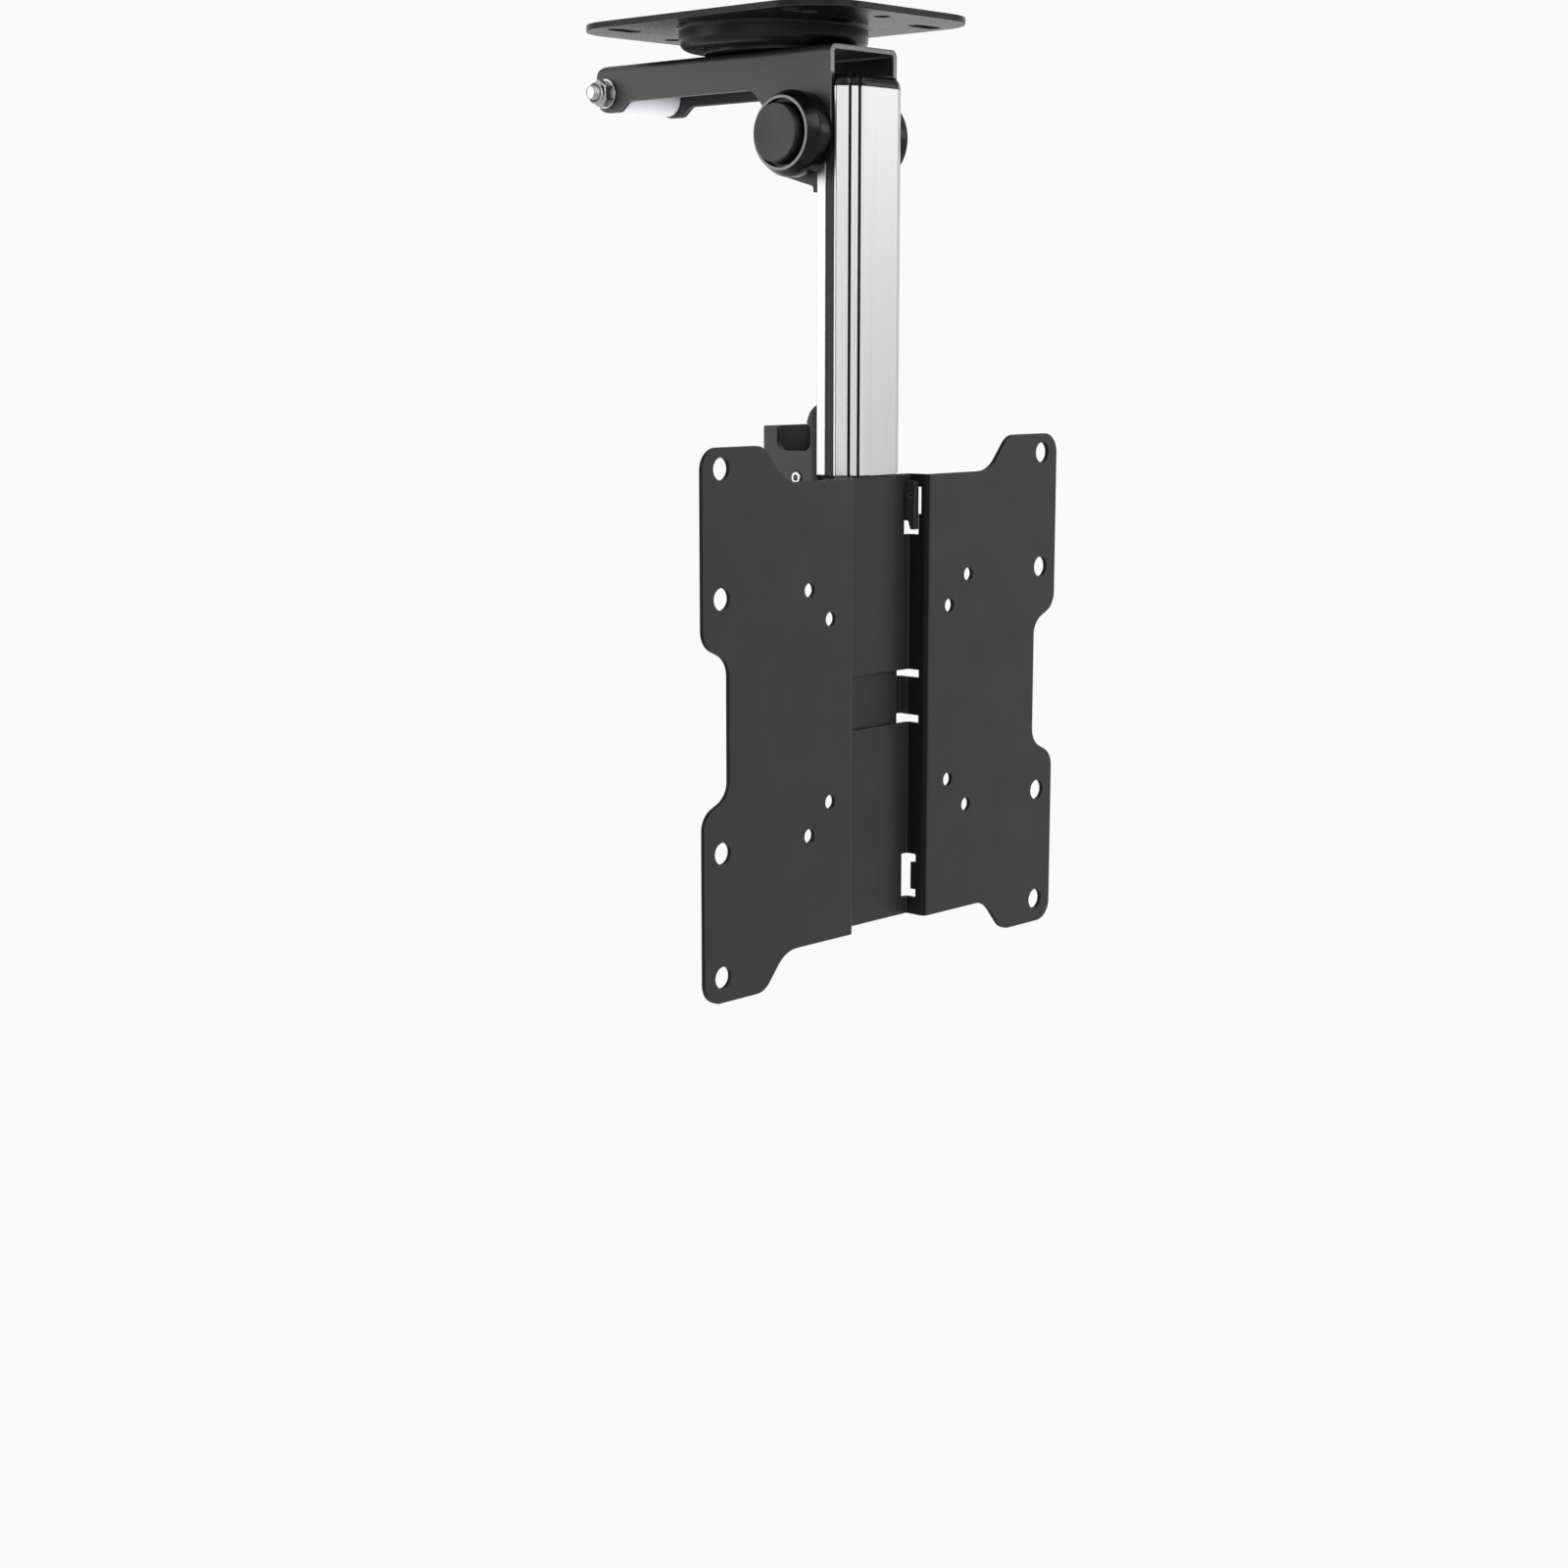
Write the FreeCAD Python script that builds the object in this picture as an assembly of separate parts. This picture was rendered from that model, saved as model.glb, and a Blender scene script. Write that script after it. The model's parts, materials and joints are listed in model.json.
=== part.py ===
"""Flip-down ceiling bracket for a small flat television.

A ceiling plate carries a swivelling arm. A grooved aluminium column hangs from the arm's front
hinge and folds up under the arm. A tilting head at the column's foot holds a VESA adapter plate.

Millimetres, +Z up. The origin is on the swivel axis, on the ceiling plate's top face. The screen
faces -Y, the arm runs back along +Y, and the fold and tilt axes run along X.
"""
import FreeCAD, Part
import math
import os

V = FreeCAD.Vector

# Gaps between pieces
FACE_GAP = 0.05
RUNNING_GAP = 0.05
SEAT_GAP = 0.1
SIDE_GAP = 0.4

# Ceiling plate
PLATE_WIDTH = 104.0
PLATE_LENGTH = 146.0
PLATE_CORNER = 24.0
PLATE_SHEET = 2.5
PAN_RADIUS = 39.5
PAN_DEPTH = 9.0
PAN_EDGE = 4.0
PAN_ROOT = 1.5
SLOT_WIDTH = 7.0
SLOT_LENGTH = 17.0
CORNER_SLOT_SPACING_X = 76.0
CORNER_SLOT_SPACING_Y = 100.0
CENTRE_HOLE_SPACING_Y = 120.0

# Swivel bolt and what it clamps
SWIVEL_BOLT_RADIUS = 5.0
SWIVEL_HEAD_ACROSS = 17.0
SWIVEL_HEAD_HEIGHT = 6.0
SWIVEL_DISC_RADIUS = 29.0
SWIVEL_DISC_THICK = 1.8
SWIVEL_LINER_RADIUS = 12.0
SWIVEL_LINER_THICK = 1.0
SWIVEL_WASHER_RADIUS = 11.0
SWIVEL_WASHER_THICK = 2.0
SWIVEL_NUT_HEIGHT = 9.0
SWIVEL_BOLT_TIP = 1.2

# Arm channel
ARM_WIDTH = 40.0
ARM_SHEET = 2.0
ARM_BEND = 3.0
ARM_DEPTH = 15.6
ARM_REAR = 86.9
ARM_REAR_CORNER = 5.0
ARM_SLOPE_TOP = -7.0
ARM_SLOPE_DROP = 13.4
HINGE_LOBE = 16.2
REAR_LOBE = 8.1

# Fold axis, measured from the swivel axis and from the arm's top face
PIVOT_Y = -34.4
PIVOT_DROP = 34.7

# Cross bolt at the arm's rear end
CROSS_BOLT_SETBACK = 6.2
CROSS_BOLT_DROP = 11.7
CROSS_BOLT_RADIUS = 3.0
CROSS_WASHER_RADIUS = 6.35
CROSS_WASHER_THICK = 1.2
CROSS_NUT_ACROSS = 10.0
CROSS_NUT_HEIGHT = 6.0
CROSS_HEAD_HEIGHT = 4.0
CROSS_BOLT_TIP = 2.7
SLEEVE_RADIUS = 7.4

# Hinge housing, button, cover and axle
HOUSING_BASE_RADIUS = 17.3
HOUSING_RIM_RADIUS = 14.7
HOUSING_HEIGHT = 12.7
HOUSING_FLOOR = 2.4
HOUSING_WALL = 1.3
HOUSING_LIP = 1.5
HOUSING_MOUTH = 2.0
COVER_WALL = 1.4
COVER_EDGE = 3.2
BUTTON_RADIUS = 11.8
BUTTON_PROUD = 3.3
BUTTON_TRAVEL = 3.0
BUTTON_SKIN = 1.8
BUTTON_FLANGE = 1.1
BUTTON_FLANGE_THICK = 1.4
BUTTON_DISH = 0.6
SPRING_WIRE = 1.2
SPRING_TURNS = 3
AXLE_RADIUS = 4.0
AXLE_HEAD_RADIUS = 7.0
AXLE_HEAD_THICK = 3.0
AXLE_NUT_ACROSS = 13.0
AXLE_NUT_THICK = 3.6
AXLE_TIP = 0.6

# Column profile
COLUMN_FRONT = -59.9
SHOULDER_RUN = 9.3
COLUMN_INSET = 0.4
SHOULDER_DEPTH = 6.6
RIM_DEPTH = 1.3
STRIP_WIDTH = 6.5
STRIP_THICK = 2.05
STRIP_SUNK = 0.3
RIB_DEPTH = 4.8
COLUMN_WALL = 2.0
COLUMN_TOP_DROP = 16.6
COLUMN_LENGTH = 154.8
GROOVE_WIDTH = 1.2
GROOVE_DEPTH = 1.0
GROOVE_PLACES = (0.17, 0.52)
CAP_HEIGHT = 5.5
CAP_EDGE = 0.7
PLUG_LENGTH = 7.0
PLUG_WALL = 1.6

# Hinge bracket between column and axle
BRACKET_SHEET = 2.6
BRACKET_EYE = 12.9
BRACKET_HEEL = 15.9
BRACKET_HEEL_SLOPE = 4.6
BRACKET_FOOT = 22.9
BRACKET_WINDOW = 7.7
BRACKET_SCREW_DROP = 18.4
BRACKET_SCREW_SPACING = 17.0
SCREW_RADIUS = 2.5
SCREW_HEAD_RADIUS = 3.8
SCREW_HEAD_THICK = 2.6
SCREW_REACH = 6.0
SCREW_SOCKET_ACROSS = 3.0

# Yoke at the column's foot
YOKE_SHEET = 2.4
YOKE_DEPTH = 31.5
YOKE_BEND = 3.0
YOKE_ABOVE_FOOT = 19.5
YOKE_NOTCH_FRONT = 3.2
YOKE_NOTCH_WIDTH = 19.1
YOKE_NOTCH_DEPTH = 10.2
YOKE_NOTCH_CORNER = 4.0
YOKE_HORN_RISE = 9.7
YOKE_HORN_REACH = 5.4
YOKE_HORN_ROOT = 1.7
YOKE_FLANGE = 11.6
YOKE_EYE = 9.4
YOKE_SCREW_RISE = 11.6

# Tilt axis, measured from the column's rear face and foot
TILT_SETBACK = 10.7
TILT_DROP = 1.6
TILT_AXLE_RADIUS = 2.5
TILT_AXLE_PROUD = 1.0
TILT_SOCKET_ACROSS = 2.5
TILT_SOCKET_DEPTH = 2.2
TILT_WASHER_RADIUS = 6.5
TILT_WASHER_THICK = 0.8
TILT_SPACER_RADIUS = 4.5
EAR_SHEET = 2.4
EAR_RADIUS = 7.0

# VESA plate, heights measured from its centre
PLATE_TOP_GAP = 0.45
VESA_FRONT = -67.3
VESA_SHEET = 2.0
VESA_RECESS = 10.0
VESA_BAND_RECESS = 14.6
VESA_CHANNEL = 45.0
VESA_BEND = 0.5
VESA_EAR_WIDTH = 220.4
VESA_EAR_HEIGHT = 218.4
VESA_BODY_HEIGHT = 188.7
VESA_OUTLINE_DROP = 1.0
VESA_EAR_TOP = 76.5
VESA_EAR_FOOT = 64.0
VESA_WAIST_WIDTH = 192.0
VESA_WAIST_HALF = 26.8
VESA_EAR_SHOULDER = 33.3
VESA_EAR_CORNER = 8.5
VESA_EAR_ROOT = 14.0
VESA_CURVE = 9.2
LARGE_HOLE_RADIUS = 4.5
SMALL_HOLE_RADIUS = 3.0
PATTERN_LARGE = 200.0
PATTERN_MIDDLE = 100.0
PATTERN_SMALL = 75.0
WINDOW_DROP = 0.6
WINDOW_HALF = 11.4
WINDOW_UP_FLANGE = 5.8
BAND_HALF = 8.0
OPENING_INNER = 19.1
OPENING_HEIGHT = 20.0
OPENING_EDGE = 5.35
OPENING_UP_FLANGE = 5.0
OPENING_STEP = 1.4
OPENING_STEP_RISE = 8.7
FOOT_OPENING_HEIGHT = 19.1
FOOT_OPENING_BAR = 2.2
FOOT_OPENING_PRONG = 3.7

# Head plate behind the VESA plate
HEAD_SHEET = 2.4
HEAD_WIDTH = 35.0
HEAD_ABOVE_OPENING = 3.0
HEAD_FOOT_SETBACK = 23.5
HEAD_CORNER = 6.0
HOOK_SIDE_GAP = 0.3
HOOK_REACH = 5.2
HOOK_HEIGHT = 14.1
HOOK_LIP = 2.6
HOOK_TOE = 3.6
HOOK_TOE_WIDTH = 2.4
HOOK_TOE_SLOPE = 1.3
CLEVIS_LENGTH = 26.0
CLEVIS_TOP_GAP = 1.5
CLEVIS_RIVET_RADIUS = 2.0

# Places that follow from the sizes above
PAN_FLOOR = -PAN_DEPTH - PLATE_SHEET
ARM_TOP = PAN_FLOOR - SWIVEL_DISC_THICK - 2 * FACE_GAP
ARM_HALF = ARM_WIDTH / 2
ARM_INNER = ARM_HALF - ARM_SHEET
ARM_EDGE = ARM_TOP - ARM_DEPTH
PIVOT_Z = ARM_TOP - PIVOT_DROP
ARM_FRONT = PIVOT_Y - HINGE_LOBE
CROSS_Y = ARM_REAR - CROSS_BOLT_SETBACK
CROSS_Z = ARM_TOP - CROSS_BOLT_DROP

COLUMN_TOP = ARM_TOP - COLUMN_TOP_DROP
COLUMN_FOOT = COLUMN_TOP - COLUMN_LENGTH
COLUMN_HALF = ARM_HALF - COLUMN_INSET
FLAT_HALF = COLUMN_HALF - SHOULDER_RUN
REAR_HALF = ARM_INNER - SIDE_GAP
SHOULDER_Y = COLUMN_FRONT + SHOULDER_DEPTH
RIM_REAR = SHOULDER_Y + RIM_DEPTH
STRIP_REAR = RIM_REAR + STRIP_WIDTH
COLUMN_REAR = STRIP_REAR + RIB_DEPTH
STRIP_FLOOR = REAR_HALF - STRIP_SUNK - STRIP_THICK - FACE_GAP
HOLLOW_HALF = STRIP_FLOOR - COLUMN_WALL

BRACKET_OUTER = REAR_HALF - 0.8
WASHER_INNER = BRACKET_OUTER + FACE_GAP

TILT_Y = COLUMN_REAR + TILT_SETBACK
TILT_Z = COLUMN_FOOT - TILT_DROP
YOKE_INNER = REAR_HALF - YOKE_SHEET
YOKE_REAR = COLUMN_REAR + YOKE_DEPTH
YOKE_TOP = COLUMN_FOOT + YOKE_ABOVE_FOOT
EAR_OUTER = YOKE_INNER - TILT_WASHER_THICK - 2 * FACE_GAP

PLATE_HALF = VESA_BODY_HEIGHT / 2
VESA_Z = COLUMN_FOOT - PLATE_TOP_GAP - PLATE_HALF + VESA_OUTLINE_DROP
OPENING_HIGH = PLATE_HALF - VESA_OUTLINE_DROP - OPENING_EDGE
OPENING_LOW = OPENING_HIGH - OPENING_HEIGHT
WEB_FRONT = VESA_FRONT + VESA_RECESS
WEB_REAR = WEB_FRONT + VESA_SHEET
BAND_FRONT = VESA_FRONT + VESA_BAND_RECESS
CHANNEL_HALF = VESA_CHANNEL / 2
WINDOW_Z = VESA_Z - WINDOW_DROP
HEAD_FRONT = WEB_REAR + SEAT_GAP
HEAD_REAR = HEAD_FRONT + HEAD_SHEET


def in_xy(point, level=0.0):
    return V(point.x, point.y, level)


def in_xz(point, level=0.0):
    return V(point.x, level, point.y)


def in_yz(point, level=0.0):
    return V(level, point.x, point.y)


ACROSS = {in_xy: V(0, 0, 1), in_xz: V(0, 1, 0), in_yz: V(1, 0, 0)}


def outline(corners, plane, level=0.0):
    """Closed wire through (u, v, radius) corners, with a tangent arc at each corner that has a radius."""
    count = len(corners)
    spots = [V(u, v, 0) for u, v, _ in corners]
    joints = []
    for i, (_, _, radius) in enumerate(corners):
        here = spots[i]
        back = (spots[i - 1] - here).normalize()
        ahead = (spots[(i + 1) % count] - here).normalize()
        if radius <= 0:
            joints.append((here, here, here))
            continue
        half = back.getAngle(ahead) / 2
        reach = radius / math.tan(half)
        inward = (back + ahead).normalize()
        middle = here + inward * (radius / math.sin(half) - radius)
        joints.append((here + back * reach, middle, here + ahead * reach))
    edges = []
    for i, (start, middle, end) in enumerate(joints):
        following = joints[(i + 1) % count][0]
        if (end - start).Length > 1e-6:
            arc = Part.Arc(plane(start, level), plane(middle, level), plane(end, level))
            edges.append(arc.toShape())
        if (following - end).Length > 1e-6:
            edges.append(Part.makeLine(plane(end, level), plane(following, level)))
    return Part.Wire(edges)


def slab(corners, plane, start, thick):
    """Flat piece with the given outline, from start to start + thick across its plane."""
    return Part.Face(outline(corners, plane, start)).extrude(ACROSS[plane] * thick)


def both_sides(half):
    """Outline corners of a shape that is symmetric in its first coordinate, from its +u half."""
    return half + [(-u, v, radius) for u, v, radius in reversed(half)]


def rectangle(u0, v0, u1, v1, radius=0.0):
    return [(u0, v0, radius), (u1, v0, radius), (u1, v1, radius), (u0, v1, radius)]


def box(x0, y0, z0, x1, y1, z1):
    return Part.makeBox(x1 - x0, y1 - y0, z1 - z0, V(x0, y0, z0))


def rod_x(radius, x0, x1, y, z):
    return Part.makeCylinder(radius, x1 - x0, V(x0, y, z), V(1, 0, 0))


def rod_y(radius, y0, y1, x, z):
    return Part.makeCylinder(radius, y1 - y0, V(x, y0, z), V(0, 1, 0))


def rod_z(radius, z0, z1, x=0.0, y=0.0):
    return Part.makeCylinder(radius, z1 - z0, V(x, y, z0), V(0, 0, 1))


def hexagon(across, plane, start, thick, u=0.0, v=0.0):
    """Six-sided prism, across its flats, centred on (u, v)."""
    radius = across / math.sqrt(3)
    turns = [math.radians(60 * k + 30) for k in range(6)]
    corners = [(u + radius * math.cos(a), v + radius * math.sin(a), 0) for a in turns]
    return slab(corners, plane, start, thick)


def cut_all(shape, tools):
    for tool in tools:
        shape = shape.cut(tool)
    return shape


def fuse_all(shapes):
    whole = shapes[0]
    for shape in shapes[1:]:
        whole = whole.fuse(shape)
    return whole.removeSplitter()


def mirrored(shape):
    """The same piece on the other side of the object's middle plane."""
    return shape.mirror(V(0, 0, 0), V(1, 0, 0))


def turned_x(profile, y, z):
    """Solid of revolution about an axis along X through (y, z), from (x, radius, corner) points."""
    face = Part.Face(outline(profile, in_xy))
    solid = face.revolve(V(0, 0, 0), V(1, 0, 0), 360)
    solid.translate(V(0, y, z))
    return solid


def slot_z(x, y):
    """Cutter for a screw slot along X through the ceiling plate."""
    half = SLOT_LENGTH / 2
    radius = SLOT_WIDTH / 2
    corners = rectangle(x - half, y - radius, x + half, y + radius, radius * 0.9999)
    return slab(corners, in_xy, -2 * PLATE_SHEET, 3 * PLATE_SHEET)


def ceiling_plate():
    """Pressed sheet with a round pan that sinks the swivel bolt's head below the ceiling."""
    bore = SWIVEL_BOLT_RADIUS + RUNNING_GAP
    ring = PAN_RADIUS + PLATE_SHEET + PAN_ROOT
    wall = PAN_RADIUS - PLATE_SHEET
    pan = [
        (bore, -PAN_DEPTH, 0),
        (wall, -PAN_DEPTH, PAN_EDGE - PLATE_SHEET),
        (wall, 0, PAN_ROOT + PLATE_SHEET),
        (ring, 0, 0),
        (ring, -PLATE_SHEET, 0),
        (PAN_RADIUS, -PLATE_SHEET, PAN_ROOT),
        (PAN_RADIUS, PAN_FLOOR, PAN_EDGE),
        (bore, PAN_FLOOR, 0),
    ]
    pressed = Part.Face(outline(pan, in_xz)).revolve(V(0, 0, 0), V(0, 0, 1), 360)
    half_x = PLATE_WIDTH / 2
    half_y = PLATE_LENGTH / 2
    flat = slab(rectangle(-half_x, -half_y, half_x, half_y, PLATE_CORNER), in_xy, -PLATE_SHEET, PLATE_SHEET)
    flat = flat.cut(rod_z(ring, -2 * PLATE_SHEET, PLATE_SHEET))
    plate = fuse_all([flat, pressed])
    holes = []
    for end in (-1, 1):
        holes.append(rod_z(SLOT_WIDTH / 2, -2 * PLATE_SHEET, PLATE_SHEET, 0, end * CENTRE_HOLE_SPACING_Y / 2))
        for side in (-1, 1):
            holes.append(slot_z(side * CORNER_SLOT_SPACING_X / 2, end * CORNER_SLOT_SPACING_Y / 2))
    return cut_all(plate, holes)


def swivel_levels():
    """Heights of the stack under the arm's top wall, from the wall down to the bolt's tip."""
    liner_top = ARM_TOP - ARM_SHEET - FACE_GAP
    washer_top = liner_top - SWIVEL_LINER_THICK
    nut_top = washer_top - SWIVEL_WASHER_THICK
    nut_foot = nut_top - SWIVEL_NUT_HEIGHT
    return liner_top, washer_top, nut_top, nut_foot


def swivel_bolt():
    tip = swivel_levels()[3] - SWIVEL_BOLT_TIP
    head = hexagon(SWIVEL_HEAD_ACROSS, in_xy, -PAN_DEPTH, SWIVEL_HEAD_HEIGHT)
    return fuse_all([head, rod_z(SWIVEL_BOLT_RADIUS, tip, -PAN_DEPTH)])


def swivel_disc():
    top = PAN_FLOOR
    disc = rod_z(SWIVEL_DISC_RADIUS, top - SWIVEL_DISC_THICK, top)
    return disc.cut(rod_z(SWIVEL_BOLT_RADIUS + RUNNING_GAP, ARM_TOP, top + 1))


def swivel_liner():
    top = swivel_levels()[0]
    ring = rod_z(SWIVEL_LINER_RADIUS, top - SWIVEL_LINER_THICK, top)
    return ring.cut(rod_z(SWIVEL_BOLT_RADIUS + RUNNING_GAP, top - 2 * SWIVEL_LINER_THICK, top + 1))


def swivel_washer():
    top = swivel_levels()[1]
    ring = rod_z(SWIVEL_WASHER_RADIUS, top - SWIVEL_WASHER_THICK, top)
    return ring.cut(rod_z(SWIVEL_BOLT_RADIUS + RUNNING_GAP, top - 2 * SWIVEL_WASHER_THICK, top + 1))


def lock_nut(across, height, radius, plane, start, direction, u=0.0, v=0.0):
    """Hexagon nut with a round locking collar on the side that direction points to."""
    collar = height * 0.28
    low = start if direction > 0 else start - height
    prism_low = low if direction > 0 else low + collar
    prism = hexagon(across, plane, prism_low, height - collar, u, v)
    centre = plane(V(u, v, 0), low)
    round_part = Part.makeCylinder(across / 2 * 0.96, height, centre, ACROSS[plane])
    bore = Part.makeCylinder(radius + RUNNING_GAP, height + 2, centre - ACROSS[plane], ACROSS[plane])
    return fuse_all([prism, round_part]).cut(bore)


def swivel_lock_nut():
    top = swivel_levels()[2]
    return lock_nut(SWIVEL_HEAD_ACROSS, SWIVEL_NUT_HEIGHT, SWIVEL_BOLT_RADIUS, in_xy, top, -1)


def arm_channel():
    """Folded sheet, open downwards, with a hinge lobe in front and a bolt lobe behind."""
    lobe_foot = PIVOT_Z - HINGE_LOBE
    lobe_rear = PIVOT_Y + HINGE_LOBE
    rear_foot = CROSS_Z - REAR_LOBE
    neck = CROSS_Y - REAR_LOBE
    side = [
        (ARM_FRONT, ARM_TOP, 0),
        (ARM_REAR, ARM_TOP, ARM_REAR_CORNER),
        (ARM_REAR, rear_foot, REAR_LOBE * 0.9),
        (neck, rear_foot, REAR_LOBE / 2),
        (neck - (ARM_EDGE - rear_foot) * 1.3, ARM_EDGE, REAR_LOBE / 2),
        (ARM_SLOPE_TOP, ARM_EDGE, HINGE_LOBE / 2),
        (lobe_rear, ARM_EDGE - ARM_SLOPE_DROP, 4.0),
        (lobe_rear, lobe_foot, HINGE_LOBE * 0.999),
        (ARM_FRONT, lobe_foot, HINGE_LOBE * 0.999),
    ]
    bend_inner = ARM_BEND - ARM_SHEET
    outer = both_sides([(ARM_HALF, ARM_TOP, ARM_BEND), (ARM_HALF, lobe_foot - 1, 0)])
    inner = both_sides([(ARM_INNER, ARM_TOP - ARM_SHEET, bend_inner), (ARM_INNER, lobe_foot - 2, 0)])
    length = ARM_REAR - ARM_FRONT
    channel = slab(outer, in_xz, ARM_FRONT, length).cut(slab(inner, in_xz, ARM_FRONT - 1, length + 2))
    arm = channel.common(slab(side, in_yz, -ARM_WIDTH, 2 * ARM_WIDTH))
    holes = [
        rod_z(SWIVEL_BOLT_RADIUS + RUNNING_GAP, ARM_TOP - 2 * ARM_SHEET, ARM_TOP + 1),
        rod_x(AXLE_RADIUS + RUNNING_GAP, -ARM_WIDTH, ARM_WIDTH, PIVOT_Y, PIVOT_Z),
        rod_x(CROSS_BOLT_RADIUS + RUNNING_GAP, -ARM_WIDTH, ARM_WIDTH, CROSS_Y, CROSS_Z),
    ]
    return cut_all(arm, holes)


def cross_bolt():
    """Bolt across the arm's rear end, head on the +X side and threaded tip on the -X side."""
    outer = ARM_HALF + CROSS_WASHER_THICK
    tip = -outer - CROSS_NUT_HEIGHT - CROSS_BOLT_TIP
    shank = rod_x(CROSS_BOLT_RADIUS, tip, outer, CROSS_Y, CROSS_Z)
    head = hexagon(CROSS_NUT_ACROSS, in_yz, outer, CROSS_HEAD_HEIGHT, CROSS_Y, CROSS_Z)
    return fuse_all([shank, head])


def cross_washers():
    bore = rod_x(CROSS_BOLT_RADIUS + RUNNING_GAP, -ARM_WIDTH, ARM_WIDTH, CROSS_Y, CROSS_Z)
    outer = ARM_HALF + CROSS_WASHER_THICK
    right = rod_x(CROSS_WASHER_RADIUS, ARM_HALF, outer, CROSS_Y, CROSS_Z).cut(bore)
    return Part.makeCompound([right, mirrored(right)])


def cross_lock_nut():
    outer = -ARM_HALF - CROSS_WASHER_THICK
    return lock_nut(CROSS_NUT_ACROSS, CROSS_NUT_HEIGHT, CROSS_BOLT_RADIUS, in_yz, outer, -1, CROSS_Y, CROSS_Z)


def spacer_sleeve():
    half = ARM_INNER - SEAT_GAP
    sleeve = rod_x(SLEEVE_RADIUS, -half, half, CROSS_Y, CROSS_Z)
    return sleeve.cut(rod_x(CROSS_BOLT_RADIUS + RUNNING_GAP, -ARM_WIDTH, ARM_WIDTH, CROSS_Y, CROSS_Z))


def housing_places():
    """X places in the hinge housing, drawn on the +X side: floor, lip's inner face, lip's outer face and rim."""
    floor = ARM_HALF + HOUSING_FLOOR
    rim = ARM_HALF + HOUSING_HEIGHT
    lip_outer = rim - HOUSING_MOUTH
    return floor, lip_outer - HOUSING_LIP, lip_outer, rim


def hinge_housing():
    """Round moulded drum over the axle's head, with a thin rim and a lip that keeps the button in."""
    floor, lip_inner, lip_outer, rim = housing_places()
    guide = BUTTON_RADIUS + 0.3
    mouth = HOUSING_RIM_RADIUS - HOUSING_WALL
    chamber = BUTTON_RADIUS + BUTTON_FLANGE + 0.6
    profile = [
        (ARM_HALF, HOUSING_BASE_RADIUS - 0.4, 0),
        (ARM_HALF + 0.6 * HOUSING_HEIGHT, HOUSING_BASE_RADIUS, 5.0),
        (rim, HOUSING_RIM_RADIUS, 0.4),
        (rim, mouth, 0.4),
        (lip_outer, mouth, 0),
        (lip_outer, guide, 0),
        (lip_inner, guide, 0),
        (lip_inner, chamber, 0),
        (floor, chamber, 0),
        (floor, AXLE_RADIUS + RUNNING_GAP, 0),
        (ARM_HALF, AXLE_RADIUS + RUNNING_GAP, 0),
    ]
    return turned_x(profile, PIVOT_Y, PIVOT_Z)


def hinge_cover():
    """Low closed cover over the axle's nut, on the side without a button."""
    floor = housing_places()[0]
    inner = floor + AXLE_NUT_THICK + AXLE_TIP + FACE_GAP
    chamber = HOUSING_BASE_RADIUS - COVER_EDGE
    profile = [
        (ARM_HALF, HOUSING_BASE_RADIUS, 0),
        (inner + COVER_WALL, HOUSING_BASE_RADIUS, COVER_EDGE),
        (inner + COVER_WALL, 0, 0),
        (inner, 0, 0),
        (inner, chamber, COVER_EDGE / 2),
        (floor, chamber, 0),
        (floor, AXLE_RADIUS + RUNNING_GAP, 0),
        (ARM_HALF, AXLE_RADIUS + RUNNING_GAP, 0),
    ]
    return turned_x(profile, PIVOT_Y, PIVOT_Z)


def push_button():
    """Moulded button with a dished face, a hollow for the spring and a flange behind the lip."""
    _, lip_inner, _, rim = housing_places()
    face = rim + BUTTON_PROUD
    shoulder = lip_inner - 0.2
    inner_end = shoulder - BUTTON_FLANGE_THICK
    hollow = BUTTON_RADIUS - BUTTON_SKIN
    profile = [
        (inner_end, hollow, 0),
        (inner_end, BUTTON_RADIUS + BUTTON_FLANGE, 0),
        (shoulder, BUTTON_RADIUS + BUTTON_FLANGE, 0),
        (shoulder, BUTTON_RADIUS, 0),
        (face, BUTTON_RADIUS, 0.7),
        (face, 0, 0),
        (face - BUTTON_SKIN - BUTTON_DISH, 0, 0),
        (face - BUTTON_SKIN - BUTTON_DISH, hollow, 0.5),
    ]
    button = turned_x(profile, PIVOT_Y, PIVOT_Z)
    spread = BUTTON_RADIUS - 1.4
    ball = (spread ** 2 + BUTTON_DISH ** 2) / (2 * BUTTON_DISH)
    return button.cut(Part.makeSphere(ball, V(face - BUTTON_DISH + ball, PIVOT_Y, PIVOT_Z)))


def button_spring():
    """Flat-wire spring between the housing's floor and the button's hollow, at its pressed length."""
    floor, _, _, rim = housing_places()
    half = SPRING_WIRE / 2
    low = floor + half + FACE_GAP
    high = rim + BUTTON_PROUD - BUTTON_SKIN - BUTTON_DISH - BUTTON_TRAVEL - half - FACE_GAP
    coil = BUTTON_RADIUS - BUTTON_SKIN - SPRING_WIRE - 0.2
    helix = Part.makeHelix((high - low) / SPRING_TURNS, high - low, coil)
    section = [V(coil + u * half, 0, v * half) for u, v in ((-1, -1), (1, -1), (1, 1), (-1, 1), (-1, -1))]
    spring = Part.Wire(helix).makePipeShell([Part.makePolygon(section)], True, True)
    spring.rotate(V(0, 0, 0), V(0, 1, 0), 90)
    spring.translate(V(low, PIVOT_Y, PIVOT_Z))
    return spring


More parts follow.
